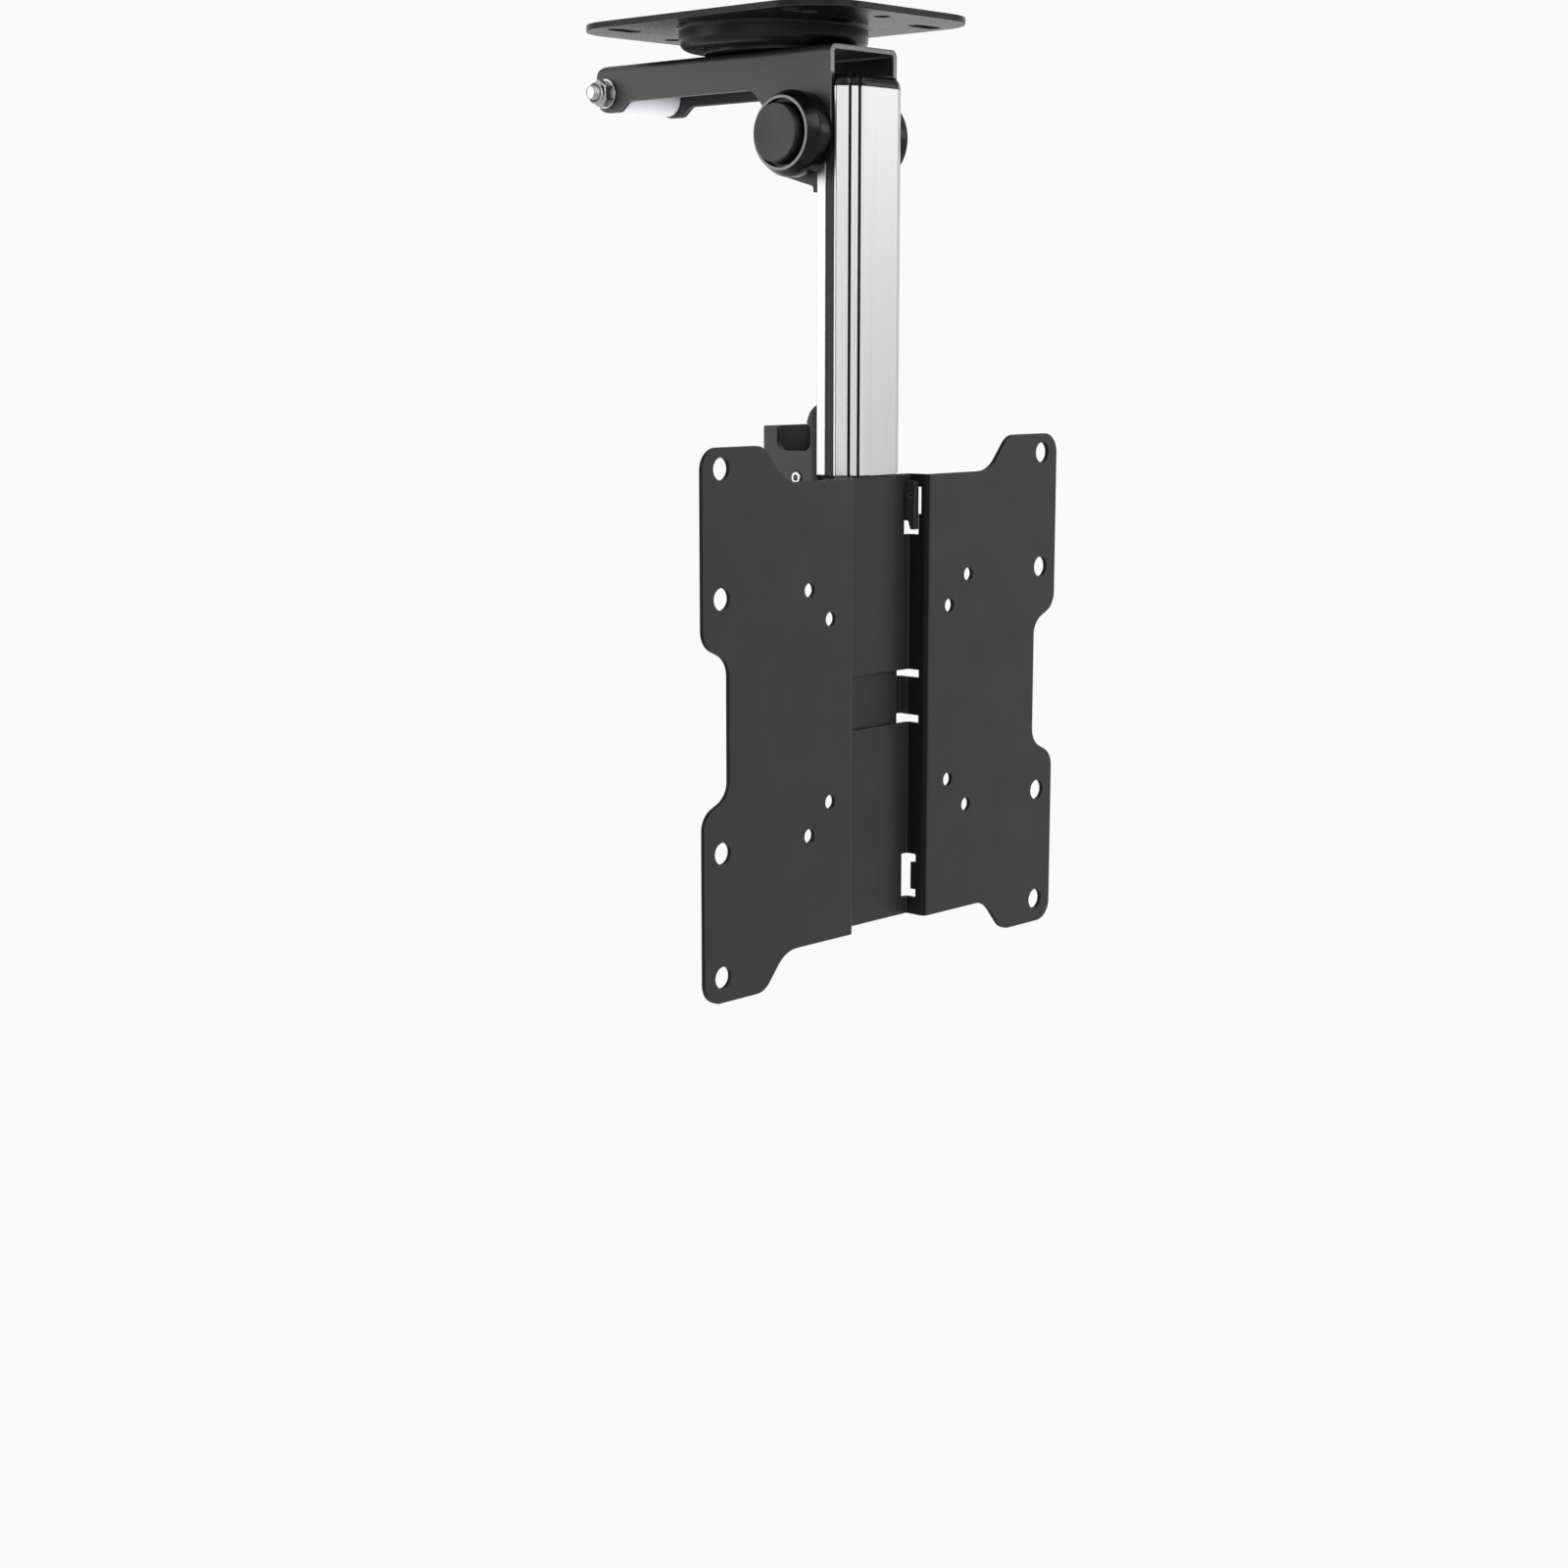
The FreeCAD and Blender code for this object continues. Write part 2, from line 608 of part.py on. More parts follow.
def hinge_axle():
    """Axle through both arm lobes and the column's bracket, head in the housing on the -X side."""
    floor = housing_places()[0]
    shank = rod_x(AXLE_RADIUS, -floor, floor + AXLE_NUT_THICK + AXLE_TIP, PIVOT_Y, PIVOT_Z)
    head = rod_x(AXLE_HEAD_RADIUS, -floor - AXLE_HEAD_THICK, -floor, PIVOT_Y, PIVOT_Z)
    return fuse_all([shank, head])


def axle_nut():
    floor = housing_places()[0]
    return lock_nut(AXLE_NUT_ACROSS, AXLE_NUT_THICK, AXLE_RADIUS, in_yz, floor, 1, PIVOT_Y, PIVOT_Z)


def groove_cutters(low, high):
    """Cutters for the two long grooves in both shoulders, between two heights."""
    run = V(SHOULDER_RUN, SHOULDER_DEPTH, 0)
    along = V(run).normalize()
    inward = V(-along.y, along.x, 0)
    cutters = []
    for share in GROOVE_PLACES:
        middle = V(FLAT_HALF, COLUMN_FRONT, 0) + run * share
        corners = []
        for side, depth in ((-1, -1.0), (1, -1.0), (1, GROOVE_DEPTH), (-1, GROOVE_DEPTH)):
            spot = middle + along * (side * GROOVE_WIDTH / 2) + inward * depth
            corners.append((spot.x, spot.y, 0))
        cutter = slab(corners, in_xy, low, high - low)
        cutters.extend([cutter, mirrored(cutter)])
    return cutters


def hollow_half(gap=0.0):
    """Right half of the column's inner outline, drawn in by a gap for what plugs it."""
    front = COLUMN_FRONT + COLUMN_WALL + gap
    side = HOLLOW_HALF - gap
    rear = COLUMN_REAR - COLUMN_WALL - gap
    return [(FLAT_HALF - 1.0 - gap, front, 0), (side, front + 2.8, 0), (side, rear, 0)]


def column_profile():
    """Extruded section: flat front, sloping grooved shoulders, a channel for each side strip, rear rib."""
    half = [
        (FLAT_HALF, COLUMN_FRONT, 1.0),
        (COLUMN_HALF, SHOULDER_Y, 0.8),
        (COLUMN_HALF, RIM_REAR, 0.3),
        (STRIP_FLOOR, RIM_REAR, 0),
        (STRIP_FLOOR, STRIP_REAR, 0),
        (REAR_HALF, STRIP_REAR, 0),
        (REAR_HALF, COLUMN_REAR, 0.6),
    ]
    column = slab(both_sides(half), in_xy, COLUMN_FOOT, COLUMN_LENGTH)
    column = column.cut(slab(both_sides(hollow_half()), in_xy, COLUMN_FOOT - 1, COLUMN_LENGTH + 2))
    column = cut_all(column, groove_cutters(COLUMN_FOOT - 1, COLUMN_TOP + 1))
    return cut_all(column, screw_bores(bracket_screw_places() + yoke_screw_places()))


def screw_bores(places):
    """Cutters for screws that enter the column's rear face."""
    start = COLUMN_REAR - 2 * SCREW_REACH
    return [rod_y(SCREW_RADIUS + SEAT_GAP, start, COLUMN_REAR + 1, x, z) for x, z in places]


def side_strip():
    """Black strip pressed into the column's channel on the +X side."""
    low = STRIP_FLOOR + FACE_GAP
    corners = rectangle(low, RIM_REAR + FACE_GAP, low + STRIP_THICK, STRIP_REAR - FACE_GAP, 0.3)
    return slab(corners, in_xy, COLUMN_FOOT, COLUMN_LENGTH)


def column_top_cap():
    """Moulded cap over the column's top end, with a hollow plug inside the profile."""
    half = [
        (FLAT_HALF, COLUMN_FRONT, 1.0),
        (COLUMN_HALF, SHOULDER_Y, 0.9),
        (COLUMN_HALF, RIM_REAR, CAP_EDGE + 0.1),
        (REAR_HALF, RIM_REAR, 0.3),
        (REAR_HALF, COLUMN_REAR, CAP_EDGE + 0.3),
    ]
    cap = slab(both_sides(half), in_xy, COLUMN_TOP, CAP_HEIGHT)
    top = COLUMN_TOP + CAP_HEIGHT
    rim = [edge for edge in cap.Edges if edge.BoundBox.ZMin > top - 1e-4]
    cap = cap.makeFillet(CAP_EDGE, rim)
    cap = cut_all(cap, groove_cutters(COLUMN_TOP - 1, top + 1))
    plug = slab(both_sides(hollow_half(SEAT_GAP)), in_xy, COLUMN_TOP - PLUG_LENGTH, PLUG_LENGTH)
    inner = both_sides(hollow_half(SEAT_GAP + PLUG_WALL))
    core = slab(inner, in_xy, COLUMN_TOP - PLUG_LENGTH - 1, PLUG_LENGTH)
    return fuse_all([cap, plug]).cut(core)


def column_foot_plug():
    """Moulded plug in the column's foot, open upwards."""
    plug = slab(both_sides(hollow_half(SEAT_GAP)), in_xy, COLUMN_FOOT, PLUG_LENGTH)
    core = slab(both_sides(hollow_half(SEAT_GAP + PLUG_WALL)), in_xy, COLUMN_FOOT + PLUG_WALL, PLUG_LENGTH)
    return cut_all(plug.cut(core), screw_bores(yoke_screw_places()))


def bracket_screw_places():
    half = BRACKET_SCREW_SPACING / 2
    return [(side * half, PIVOT_Z - BRACKET_SCREW_DROP) for side in (-1, 1)]


def yoke_screw_places():
    middle = REAR_HALF - YOKE_FLANGE / 2 - 1.0
    return [(side * middle, COLUMN_FOOT + YOKE_SCREW_RISE) for side in (-1, 1)]


def rear_screws(places, sheet):
    """Button-head screws from behind, through a sheet that lies on the column's rear face."""
    seat = COLUMN_REAR + sheet
    screws = []
    for x, z in places:
        shank = rod_y(SCREW_RADIUS, COLUMN_REAR - SCREW_REACH + SEAT_GAP, seat, x, z)
        head = rod_y(SCREW_HEAD_RADIUS, seat, seat + SCREW_HEAD_THICK, x, z)
        rim = [edge for edge in head.Edges if edge.BoundBox.YMin > seat + SCREW_HEAD_THICK - 1e-4]
        head = head.makeFillet(SCREW_HEAD_THICK * 0.45, rim)
        socket = hexagon(SCREW_SOCKET_ACROSS, in_xz, seat + SCREW_HEAD_THICK / 3, SCREW_HEAD_THICK, x, z)
        screws.append(fuse_all([shank, head]).cut(socket))
    return Part.makeCompound(screws)


def hinge_bracket():
    """Folded bracket: a base screwed to the column's rear face and two legs that carry the axle."""
    inner = BRACKET_OUTER - BRACKET_SHEET
    base_rear = COLUMN_REAR + BRACKET_SHEET
    reach = PIVOT_Y + BRACKET_EYE
    top = PIVOT_Z + BRACKET_EYE
    heel = PIVOT_Z - BRACKET_HEEL
    foot = PIVOT_Z - BRACKET_FOOT
    outside = rectangle(-BRACKET_OUTER, COLUMN_REAR, BRACKET_OUTER, reach + BRACKET_EYE, 1.6)
    inside = rectangle(-inner, base_rear, inner, reach + 2 * BRACKET_EYE, 0.4)
    shell = slab(outside, in_xy, foot, top - foot)
    core = slab(inside, in_xy, foot - 1, top - foot + 2)
    side = [
        (COLUMN_REAR, top, 2.0),
        (reach, top, BRACKET_EYE * 0.98),
        (reach, heel, 3.0),
        (base_rear, heel - BRACKET_HEEL_SLOPE, 1.5),
        (base_rear, foot, 0),
        (COLUMN_REAR, foot, 0),
    ]
    bracket = shell.cut(core).common(slab(side, in_yz, -ARM_WIDTH, 2 * ARM_WIDTH))
    window = box(-inner, COLUMN_REAR - 1, PIVOT_Z - BRACKET_WINDOW, inner, base_rear + 0.5, top + 1)
    bore = SCREW_RADIUS + SEAT_GAP
    holes = [rod_y(bore, COLUMN_REAR - 1, base_rear + 1, x, z) for x, z in bracket_screw_places()]
    axle = rod_x(AXLE_RADIUS + RUNNING_GAP, -ARM_WIDTH, ARM_WIDTH, PIVOT_Y, PIVOT_Z)
    return cut_all(bracket, [window, axle] + holes)


def hinge_washers():
    """Nylon washers between the bracket's legs and the arm's side walls."""
    radius = PIVOT_Y - COLUMN_REAR - 0.3
    ring = rod_x(radius, WASHER_INNER, ARM_INNER - SEAT_GAP, PIVOT_Y, PIVOT_Z)
    ring = ring.cut(rod_x(AXLE_RADIUS + RUNNING_GAP, 0, ARM_WIDTH, PIVOT_Y, PIVOT_Z))
    return Part.makeCompound([ring, mirrored(ring)])


def tilt_yoke():
    """Folded yoke behind the column's foot: notched sides, rear wall, and two flanges on the column."""
    flange_rear = COLUMN_REAR + YOKE_SHEET
    top = COLUMN_FOOT + YOKE_ABOVE_FOOT + YOKE_HORN_RISE
    foot = TILT_Z - YOKE_EYE
    height = top - foot
    shell = slab(rectangle(-REAR_HALF, COLUMN_REAR, REAR_HALF, YOKE_REAR, YOKE_BEND), in_xy, foot, height)
    core = rectangle(-YOKE_INNER, flange_rear, YOKE_INNER, YOKE_REAR - YOKE_SHEET, YOKE_BEND - YOKE_SHEET)
    shell = shell.cut(slab(core, in_xy, foot - 1, height + 2))
    notch_front = COLUMN_REAR + YOKE_NOTCH_FRONT
    notch_rear = notch_front + YOKE_NOTCH_WIDTH
    notch_foot = YOKE_TOP - YOKE_NOTCH_DEPTH
    side = [
        (COLUMN_REAR, top, 0),
        (COLUMN_REAR + YOKE_HORN_REACH - 1.6, top - 4.0, 6.0),
        (COLUMN_REAR + YOKE_HORN_REACH, YOKE_TOP + YOKE_HORN_ROOT, 0.4),
        (notch_front, YOKE_TOP + YOKE_HORN_ROOT - 1.8, 0.6),
        (notch_front, notch_foot, YOKE_NOTCH_CORNER),
        (notch_rear, notch_foot, YOKE_NOTCH_CORNER),
        (notch_rear, YOKE_TOP, 1.2),
        (YOKE_REAR, YOKE_TOP, 3.0),
        (YOKE_REAR, TILT_Z + 1.5, 5.0),
        (TILT_Y + YOKE_EYE, foot, YOKE_EYE * 0.9),
        (TILT_Y - YOKE_EYE, foot, YOKE_EYE * 0.9),
        (COLUMN_REAR, TILT_Z + 1.0, 2.0),
    ]
    yoke = shell.common(slab(side, in_yz, -ARM_WIDTH, 2 * ARM_WIDTH))
    gap_half = REAR_HALF - YOKE_FLANGE
    opening = box(-gap_half, COLUMN_REAR - 1, foot - 1, gap_half, flange_rear + 1, top + 1)
    under = box(-YOKE_INNER, COLUMN_REAR - 1, foot - 1, YOKE_INNER, flange_rear + 1, COLUMN_FOOT - 0.9)
    bore = SCREW_RADIUS + SEAT_GAP
    holes = [rod_y(bore, COLUMN_REAR - 1, flange_rear + 1, x, z) for x, z in yoke_screw_places()]
    axle = rod_x(TILT_AXLE_RADIUS + 0.02, -ARM_WIDTH, ARM_WIDTH, TILT_Y, TILT_Z)
    return cut_all(yoke, [opening, under, axle] + holes)


def tilt_axle():
    """Tilt axle with a hexagon socket in each end, standing a little proud of the yoke."""
    end = REAR_HALF + TILT_AXLE_PROUD
    axle = rod_x(TILT_AXLE_RADIUS, -end, end, TILT_Y, TILT_Z)
    ends = [edge for edge in axle.Edges if edge.BoundBox.XLength < 1e-4]
    axle = axle.makeChamfer(0.3, ends)
    socket_floor = end - TILT_SOCKET_DEPTH
    socket = hexagon(TILT_SOCKET_ACROSS, in_yz, socket_floor, TILT_SOCKET_DEPTH + 1, TILT_Y, TILT_Z)
    return cut_all(axle, [socket, mirrored(socket)])


def tilt_washers():
    ring = rod_x(TILT_WASHER_RADIUS, EAR_OUTER + FACE_GAP, YOKE_INNER - FACE_GAP, TILT_Y, TILT_Z)
    ring = ring.cut(rod_x(TILT_AXLE_RADIUS + RUNNING_GAP, 0, ARM_WIDTH, TILT_Y, TILT_Z))
    return Part.makeCompound([ring, mirrored(ring)])


def tilt_spacer():
    half = EAR_OUTER - EAR_SHEET - FACE_GAP
    tube = rod_x(TILT_SPACER_RADIUS, -half, half, TILT_Y, TILT_Z)
    return tube.cut(rod_x(TILT_AXLE_RADIUS + RUNNING_GAP, -ARM_WIDTH, ARM_WIDTH, TILT_Y, TILT_Z))


def tilt_clevis():
    """Folded clevis on the head plate's rear face, with two ears on the tilt axle."""
    inner = EAR_OUTER - EAR_SHEET
    base_rear = HEAD_REAR + EAR_SHEET
    top = TILT_Z + EAR_RADIUS
    edge = COLUMN_FOOT - CLEVIS_TOP_GAP
    foot = edge - CLEVIS_LENGTH
    reach = TILT_Y + EAR_RADIUS
    outside = rectangle(-EAR_OUTER, HEAD_REAR, EAR_OUTER, reach + EAR_RADIUS, 3.0)
    inside = rectangle(-inner, base_rear, inner, reach + 2 * EAR_RADIUS, 0.6)
    shell = slab(outside, in_xy, foot, top - foot)
    core = slab(inside, in_xy, foot - 1, top - foot + 2)
    side = [
        (HEAD_REAR, edge, 0),
        (TILT_Y - EAR_RADIUS, edge, 4.0),
        (TILT_Y - EAR_RADIUS + 2.0, top, EAR_RADIUS * 0.6),
        (reach, top, EAR_RADIUS * 0.98),
        (reach, TILT_Z - EAR_RADIUS, EAR_RADIUS * 0.98),
        (base_rear + 2.0, foot, 4.0),
        (HEAD_REAR, foot, 0),
    ]
    clevis = shell.cut(core).common(slab(side, in_yz, -ARM_WIDTH, 2 * ARM_WIDTH))
    axle = rod_x(TILT_AXLE_RADIUS + RUNNING_GAP, -ARM_WIDTH, ARM_WIDTH, TILT_Y, TILT_Z)
    bore = CLEVIS_RIVET_RADIUS + FACE_GAP
    holes = [rod_y(bore, HEAD_REAR - 1, base_rear + 1, x, z) for x, z in rivet_places()]
    return cut_all(clevis, [axle] + holes)


def rivet_places():
    edge = COLUMN_FOOT - CLEVIS_TOP_GAP
    return [(side * 5.0, edge - CLEVIS_LENGTH * share) for side in (-1, 1) for share in (0.3, 0.75)]


def clevis_rivets():
    """Rivets that join the clevis to the head plate, flush in front and round-headed behind."""
    seat = HEAD_REAR + EAR_SHEET
    rivets = []
    for x, z in rivet_places():
        shank = rod_y(CLEVIS_RIVET_RADIUS, HEAD_FRONT, seat, x, z)
        head = rod_y(1.8 * CLEVIS_RIVET_RADIUS, seat, seat + CLEVIS_RIVET_RADIUS, x, z)
        rim = [edge for edge in head.Edges if edge.BoundBox.YMin > seat + CLEVIS_RIVET_RADIUS - 1e-4]
        rivets.append(fuse_all([shank, head.makeFillet(0.8 * CLEVIS_RIVET_RADIUS, rim)]))
    return Part.makeCompound(rivets)


def head_plate():
    """Flat plate behind the VESA plate, with a hook bent forward through each upper opening."""
    half = HEAD_WIDTH / 2
    hook_outer = CHANNEL_HALF - HOOK_SIDE_GAP
    hook_inner = hook_outer - HEAD_SHEET
    hook_top = OPENING_HIGH - FACE_GAP
    hook_foot = hook_top - HOOK_HEIGHT
    hook_front = WEB_FRONT - HOOK_REACH
    panel = both_sides([
        (half, VESA_Z + OPENING_HIGH + HEAD_ABOVE_OPENING, 2.0),
        (half, VESA_Z + hook_top, 0.5),
        (hook_outer, VESA_Z + hook_top, 0),
        (hook_outer, VESA_Z + hook_foot, 0),
        (half, VESA_Z + hook_foot, 0.5),
        (half, VESA_Z - PLATE_HALF + HEAD_FOOT_SETBACK, HEAD_CORNER),
    ])
    plate = slab(panel, in_xz, HEAD_FRONT, HEAD_SHEET)
    lip_rear = WEB_FRONT - 2 * SEAT_GAP
    leg = [
        (HEAD_REAR, VESA_Z + hook_foot, 0),
        (HEAD_REAR, VESA_Z + hook_top, 0),
        (lip_rear, VESA_Z + hook_top, 0.4),
        (lip_rear, VESA_Z + hook_top + HOOK_LIP, 0.6),
        (hook_front, VESA_Z + hook_top + HOOK_LIP, 1.2),
        (hook_front, VESA_Z + hook_foot - HOOK_TOE, 0.4),
        (hook_front + HOOK_TOE_WIDTH, VESA_Z + hook_foot - HOOK_TOE, 0.4),
        (hook_front + HOOK_TOE_WIDTH + HOOK_TOE_SLOPE, VESA_Z + hook_foot, 0.4),
    ]
    hook = slab(leg, in_yz, hook_inner, HEAD_SHEET)
    hook = hook.cut(rod_x(1.0, 0, ARM_WIDTH, (WEB_FRONT + hook_front) / 2, VESA_Z + hook_top - 3.6))
    plate = fuse_all([plate, hook, mirrored(hook)])
    bore = CLEVIS_RIVET_RADIUS + FACE_GAP
    holes = [rod_y(bore, HEAD_FRONT - 1, HEAD_REAR + 1, x, z) for x, z in rivet_places()]
    return cut_all(plate, holes)


def folded_section(recess_front):
    """Closed outline of the VESA sheet's fold: wings in front, flanges, and a web set back."""
    outer = CHANNEL_HALF + VESA_SHEET
    wing_rear = VESA_FRONT + VESA_SHEET
    recess_rear = recess_front + VESA_SHEET
    wide = VESA_EAR_WIDTH
    bend_outer = VESA_BEND + VESA_SHEET
    front = both_sides([
        (wide, VESA_FRONT, 0),
        (CHANNEL_HALF, VESA_FRONT, bend_outer),
        (CHANNEL_HALF, recess_front, VESA_BEND),
    ])
    rear = [(-wide, wing_rear, 0), (-outer, wing_rear, VESA_BEND), (-outer, recess_rear, bend_outer)]
    return front + both_sides(rear)


def hole_places():
    """Screw holes of the VESA patterns as (x, z, radius)."""
    large = PATTERN_LARGE / 2
    middle = PATTERN_MIDDLE / 2
    small = PATTERN_SMALL / 2
    places = []
    for side in (-1, 1):
        for end in (-1, 1):
            places.append((side * large, end * large, LARGE_HOLE_RADIUS))
            places.append((side * large, end * middle, LARGE_HOLE_RADIUS))
            places.append((side * middle, end * middle, SMALL_HOLE_RADIUS))
            places.append((side * small, end * small, SMALL_HOLE_RADIUS))
    return places


def vesa_openings():
    """Cutters for the right corner openings: a stepped one on top, and one round a tongue at the foot."""
    outer = CHANNEL_HALF + VESA_SHEET + 1
    behind = WEB_REAR + VESA_SHEET
    low = VESA_Z + OPENING_LOW
    high = VESA_Z + OPENING_HIGH
    front = WEB_FRONT - OPENING_UP_FLANGE
    foot = VESA_Z - OPENING_HIGH
    crown = foot + FOOT_OPENING_HEIGHT
    return [
        box(OPENING_INNER, front, low, outer, behind, high),
        box(OPENING_INNER, front - OPENING_STEP, low + OPENING_STEP_RISE, outer, behind, high),
        box(OPENING_INNER, WEB_FRONT - FOOT_OPENING_BAR, foot, outer, behind, crown),
        box(OPENING_INNER, front, foot, outer, behind, foot + FOOT_OPENING_PRONG),
        box(OPENING_INNER, front, crown - FOOT_OPENING_PRONG, outer, behind, crown),
    ]


def vesa_plate():
    """One folded sheet: two drilled wings, a recessed web, and a deeper band behind a window."""
    ear = VESA_EAR_WIDTH / 2
    tip = VESA_EAR_HEIGHT / 2
    quarter = [
        (VESA_EAR_FOOT, PLATE_HALF, VESA_EAR_ROOT),
        (VESA_EAR_TOP, tip, VESA_CURVE),
        (ear, tip, VESA_EAR_CORNER),
        (ear, VESA_EAR_SHOULDER, VESA_CURVE),
        (VESA_WAIST_WIDTH / 2, VESA_WAIST_HALF, VESA_CURVE),
    ]
    half = quarter + [(x, -z, radius) for x, z, radius in reversed(quarter)]
    middle = VESA_Z - VESA_OUTLINE_DROP
    front_view = [(x, z + middle, radius) for x, z, radius in both_sides(half)]
    height = VESA_EAR_HEIGHT
    silhouette = slab(front_view, in_xz, VESA_FRONT - 1, VESA_BAND_RECESS + 10)
    sheet = slab(folded_section(WEB_FRONT), in_xy, middle - height / 2, height).common(silhouette)
    outer = CHANNEL_HALF + VESA_SHEET + 1
    window_front = WEB_FRONT - WINDOW_UP_FLANGE
    window = box(-outer, window_front, WINDOW_Z - WINDOW_HALF, outer, BAND_FRONT, WINDOW_Z + WINDOW_HALF)
    band = slab(folded_section(BAND_FRONT), in_xy, WINDOW_Z - BAND_HALF, 2 * BAND_HALF)
    behind_wings = VESA_FRONT + VESA_BEND + VESA_SHEET
    band_rear = BAND_FRONT + 2 * VESA_SHEET
    reach = box(-outer, behind_wings, WINDOW_Z - BAND_HALF, outer, band_rear, WINDOW_Z + BAND_HALF)
    band = band.common(reach)
    sheet = fuse_all([sheet.cut(window), band])
    openings = vesa_openings()
    sheet = cut_all(sheet, openings + [mirrored(cutter) for cutter in openings])
    behind = VESA_FRONT + 2 * VESA_SHEET
    holes = [rod_y(radius, VESA_FRONT - 1, behind, x, z + VESA_Z) for x, z, radius in hole_places()]
    return cut_all(sheet, holes)


def build():
    """All nodes by name."""
    strip = side_strip()
    return {
        "ceiling_plate": ceiling_plate(),
        "swivel_bolt": swivel_bolt(),
        "swivel_disc": swivel_disc(),
        "swivel_liner": swivel_liner(),
        "swivel_washer": swivel_washer(),
        "swivel_lock_nut": swivel_lock_nut(),
        "arm_channel": arm_channel(),
        "cross_bolt": cross_bolt(),
        "cross_washers": cross_washers(),
        "cross_lock_nut": cross_lock_nut(),
        "spacer_sleeve": spacer_sleeve(),
        "hinge_housing": mirrored(hinge_housing()),
        "hinge_cover": hinge_cover(),
        "push_button": mirrored(push_button()),
        "button_spring": mirrored(button_spring()),
        "hinge_axle": hinge_axle(),
        "axle_nut": axle_nut(),
        "column_profile": column_profile(),
        "side_strip_right": strip,
        "side_strip_left": mirrored(strip),
        "column_top_cap": column_top_cap(),
        "column_foot_plug": column_foot_plug(),
        "hinge_bracket": hinge_bracket(),
        "bracket_screws": rear_screws(bracket_screw_places(), BRACKET_SHEET),
        "hinge_washers": hinge_washers(),
        "tilt_yoke": tilt_yoke(),
        "yoke_screws": rear_screws(yoke_screw_places(), YOKE_SHEET),
        "tilt_axle": tilt_axle(),
        "tilt_washers": tilt_washers(),
        "tilt_spacer": tilt_spacer(),
        "tilt_clevis": tilt_clevis(),
        "clevis_rivets": clevis_rivets(),
        "head_plate": head_plate(),
        "vesa_plate": vesa_plate(),
    }


def main():
    os.makedirs("parts", exist_ok=True)
    for name, shape in build().items():
        solids = len(shape.Solids)
        print(f"{name}: {solids} solid(s), {shape.Volume / 1000:.2f} cm3, valid {shape.isValid()}")
        shape.exportStep(f"parts/{name}.step")


main()
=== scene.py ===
# %% [markdown]
# # A flip-down ceiling bracket
# The engineering model gives every solid its place. This lesson dresses it: each finish is built
# from shader nodes, and the pieces whose real form is finer than a machined solid, such as moulded
# covers, a wound spring, chamfered nuts and threads, are worked out as numpy surfaces and laid
# exactly where the plain solid was. All lengths are in metres, and the bracket hangs below Z = 0.

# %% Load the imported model
import json
import math

import bpy
import numpy as np
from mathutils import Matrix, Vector


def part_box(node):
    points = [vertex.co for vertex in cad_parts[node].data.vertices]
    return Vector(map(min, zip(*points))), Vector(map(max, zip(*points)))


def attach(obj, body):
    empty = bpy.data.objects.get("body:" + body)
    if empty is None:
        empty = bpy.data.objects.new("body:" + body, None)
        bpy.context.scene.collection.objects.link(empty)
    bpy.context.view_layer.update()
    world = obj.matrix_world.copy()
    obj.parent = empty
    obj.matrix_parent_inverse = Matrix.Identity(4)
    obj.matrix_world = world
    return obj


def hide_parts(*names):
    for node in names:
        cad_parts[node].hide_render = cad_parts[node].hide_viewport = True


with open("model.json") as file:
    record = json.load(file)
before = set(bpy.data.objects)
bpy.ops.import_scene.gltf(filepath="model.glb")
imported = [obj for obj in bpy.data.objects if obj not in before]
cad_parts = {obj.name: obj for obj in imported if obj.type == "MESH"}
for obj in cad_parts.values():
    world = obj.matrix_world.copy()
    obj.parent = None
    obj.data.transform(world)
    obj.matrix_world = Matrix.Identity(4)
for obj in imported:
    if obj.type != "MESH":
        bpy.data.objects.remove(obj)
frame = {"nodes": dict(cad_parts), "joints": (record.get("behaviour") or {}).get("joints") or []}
nodes = frame["nodes"]
scene = bpy.context.scene
scene.view_settings.view_transform = "Standard"
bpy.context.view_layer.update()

# %% [markdown]
# ## The camera
# The photograph was taken from the front left, a little above the middle of the bracket and close
# to it, so near edges are clearly larger than far ones. The place and lens below were found by
# fitting the adapter plate and the column. The aim is a heading in the XY plane and a fall angle,
# rather than a target to track, so the camera can be moved without being turned.

# %% Camera
CAMERA_PLACE = Vector((-0.802, -0.761, -0.1291))
CAMERA_HEADING = Vector((0.717, 0.675, 0.0)).normalized()
CAMERA_FALL = math.radians(9.87)
CAMERA_LENS = 58.9
SENSOR_WIDTH = 36.0
NEAREST, FARTHEST = 0.01, 50.0

camera_data = bpy.data.cameras.new("camera")
camera_data.lens = CAMERA_LENS
camera_data.sensor_width = SENSOR_WIDTH
camera_data.clip_start = NEAREST
camera_data.clip_end = FARTHEST
camera = bpy.data.objects.new("camera", camera_data)
scene.collection.objects.link(camera)
aim = CAMERA_HEADING * math.cos(CAMERA_FALL) - Vector((0, 0, math.sin(CAMERA_FALL)))
camera.location = CAMERA_PLACE
camera.rotation_euler = aim.to_track_quat("-Z", "Y").to_euler()
scene.camera = camera
print("camera looks along", [round(v, 4) for v in aim])

# %% [markdown]
# ## A small node kit
# Materials are graphs of nodes. They could be joined by hand in the shader editor, but helpers keep
# long graphs readable: one adds a node and sets its inputs, others put in one step of arithmetic or
# give a point's place, and the last makes a node group with named sockets, so that an effect is
# built once and placed in several finishes with its own values.

# %% Node helpers
FLOAT = "NodeSocketFloat"
VECTOR = "NodeSocketVector"
NOISE_LOW, NOISE_HIGH = 0.3, 0.7


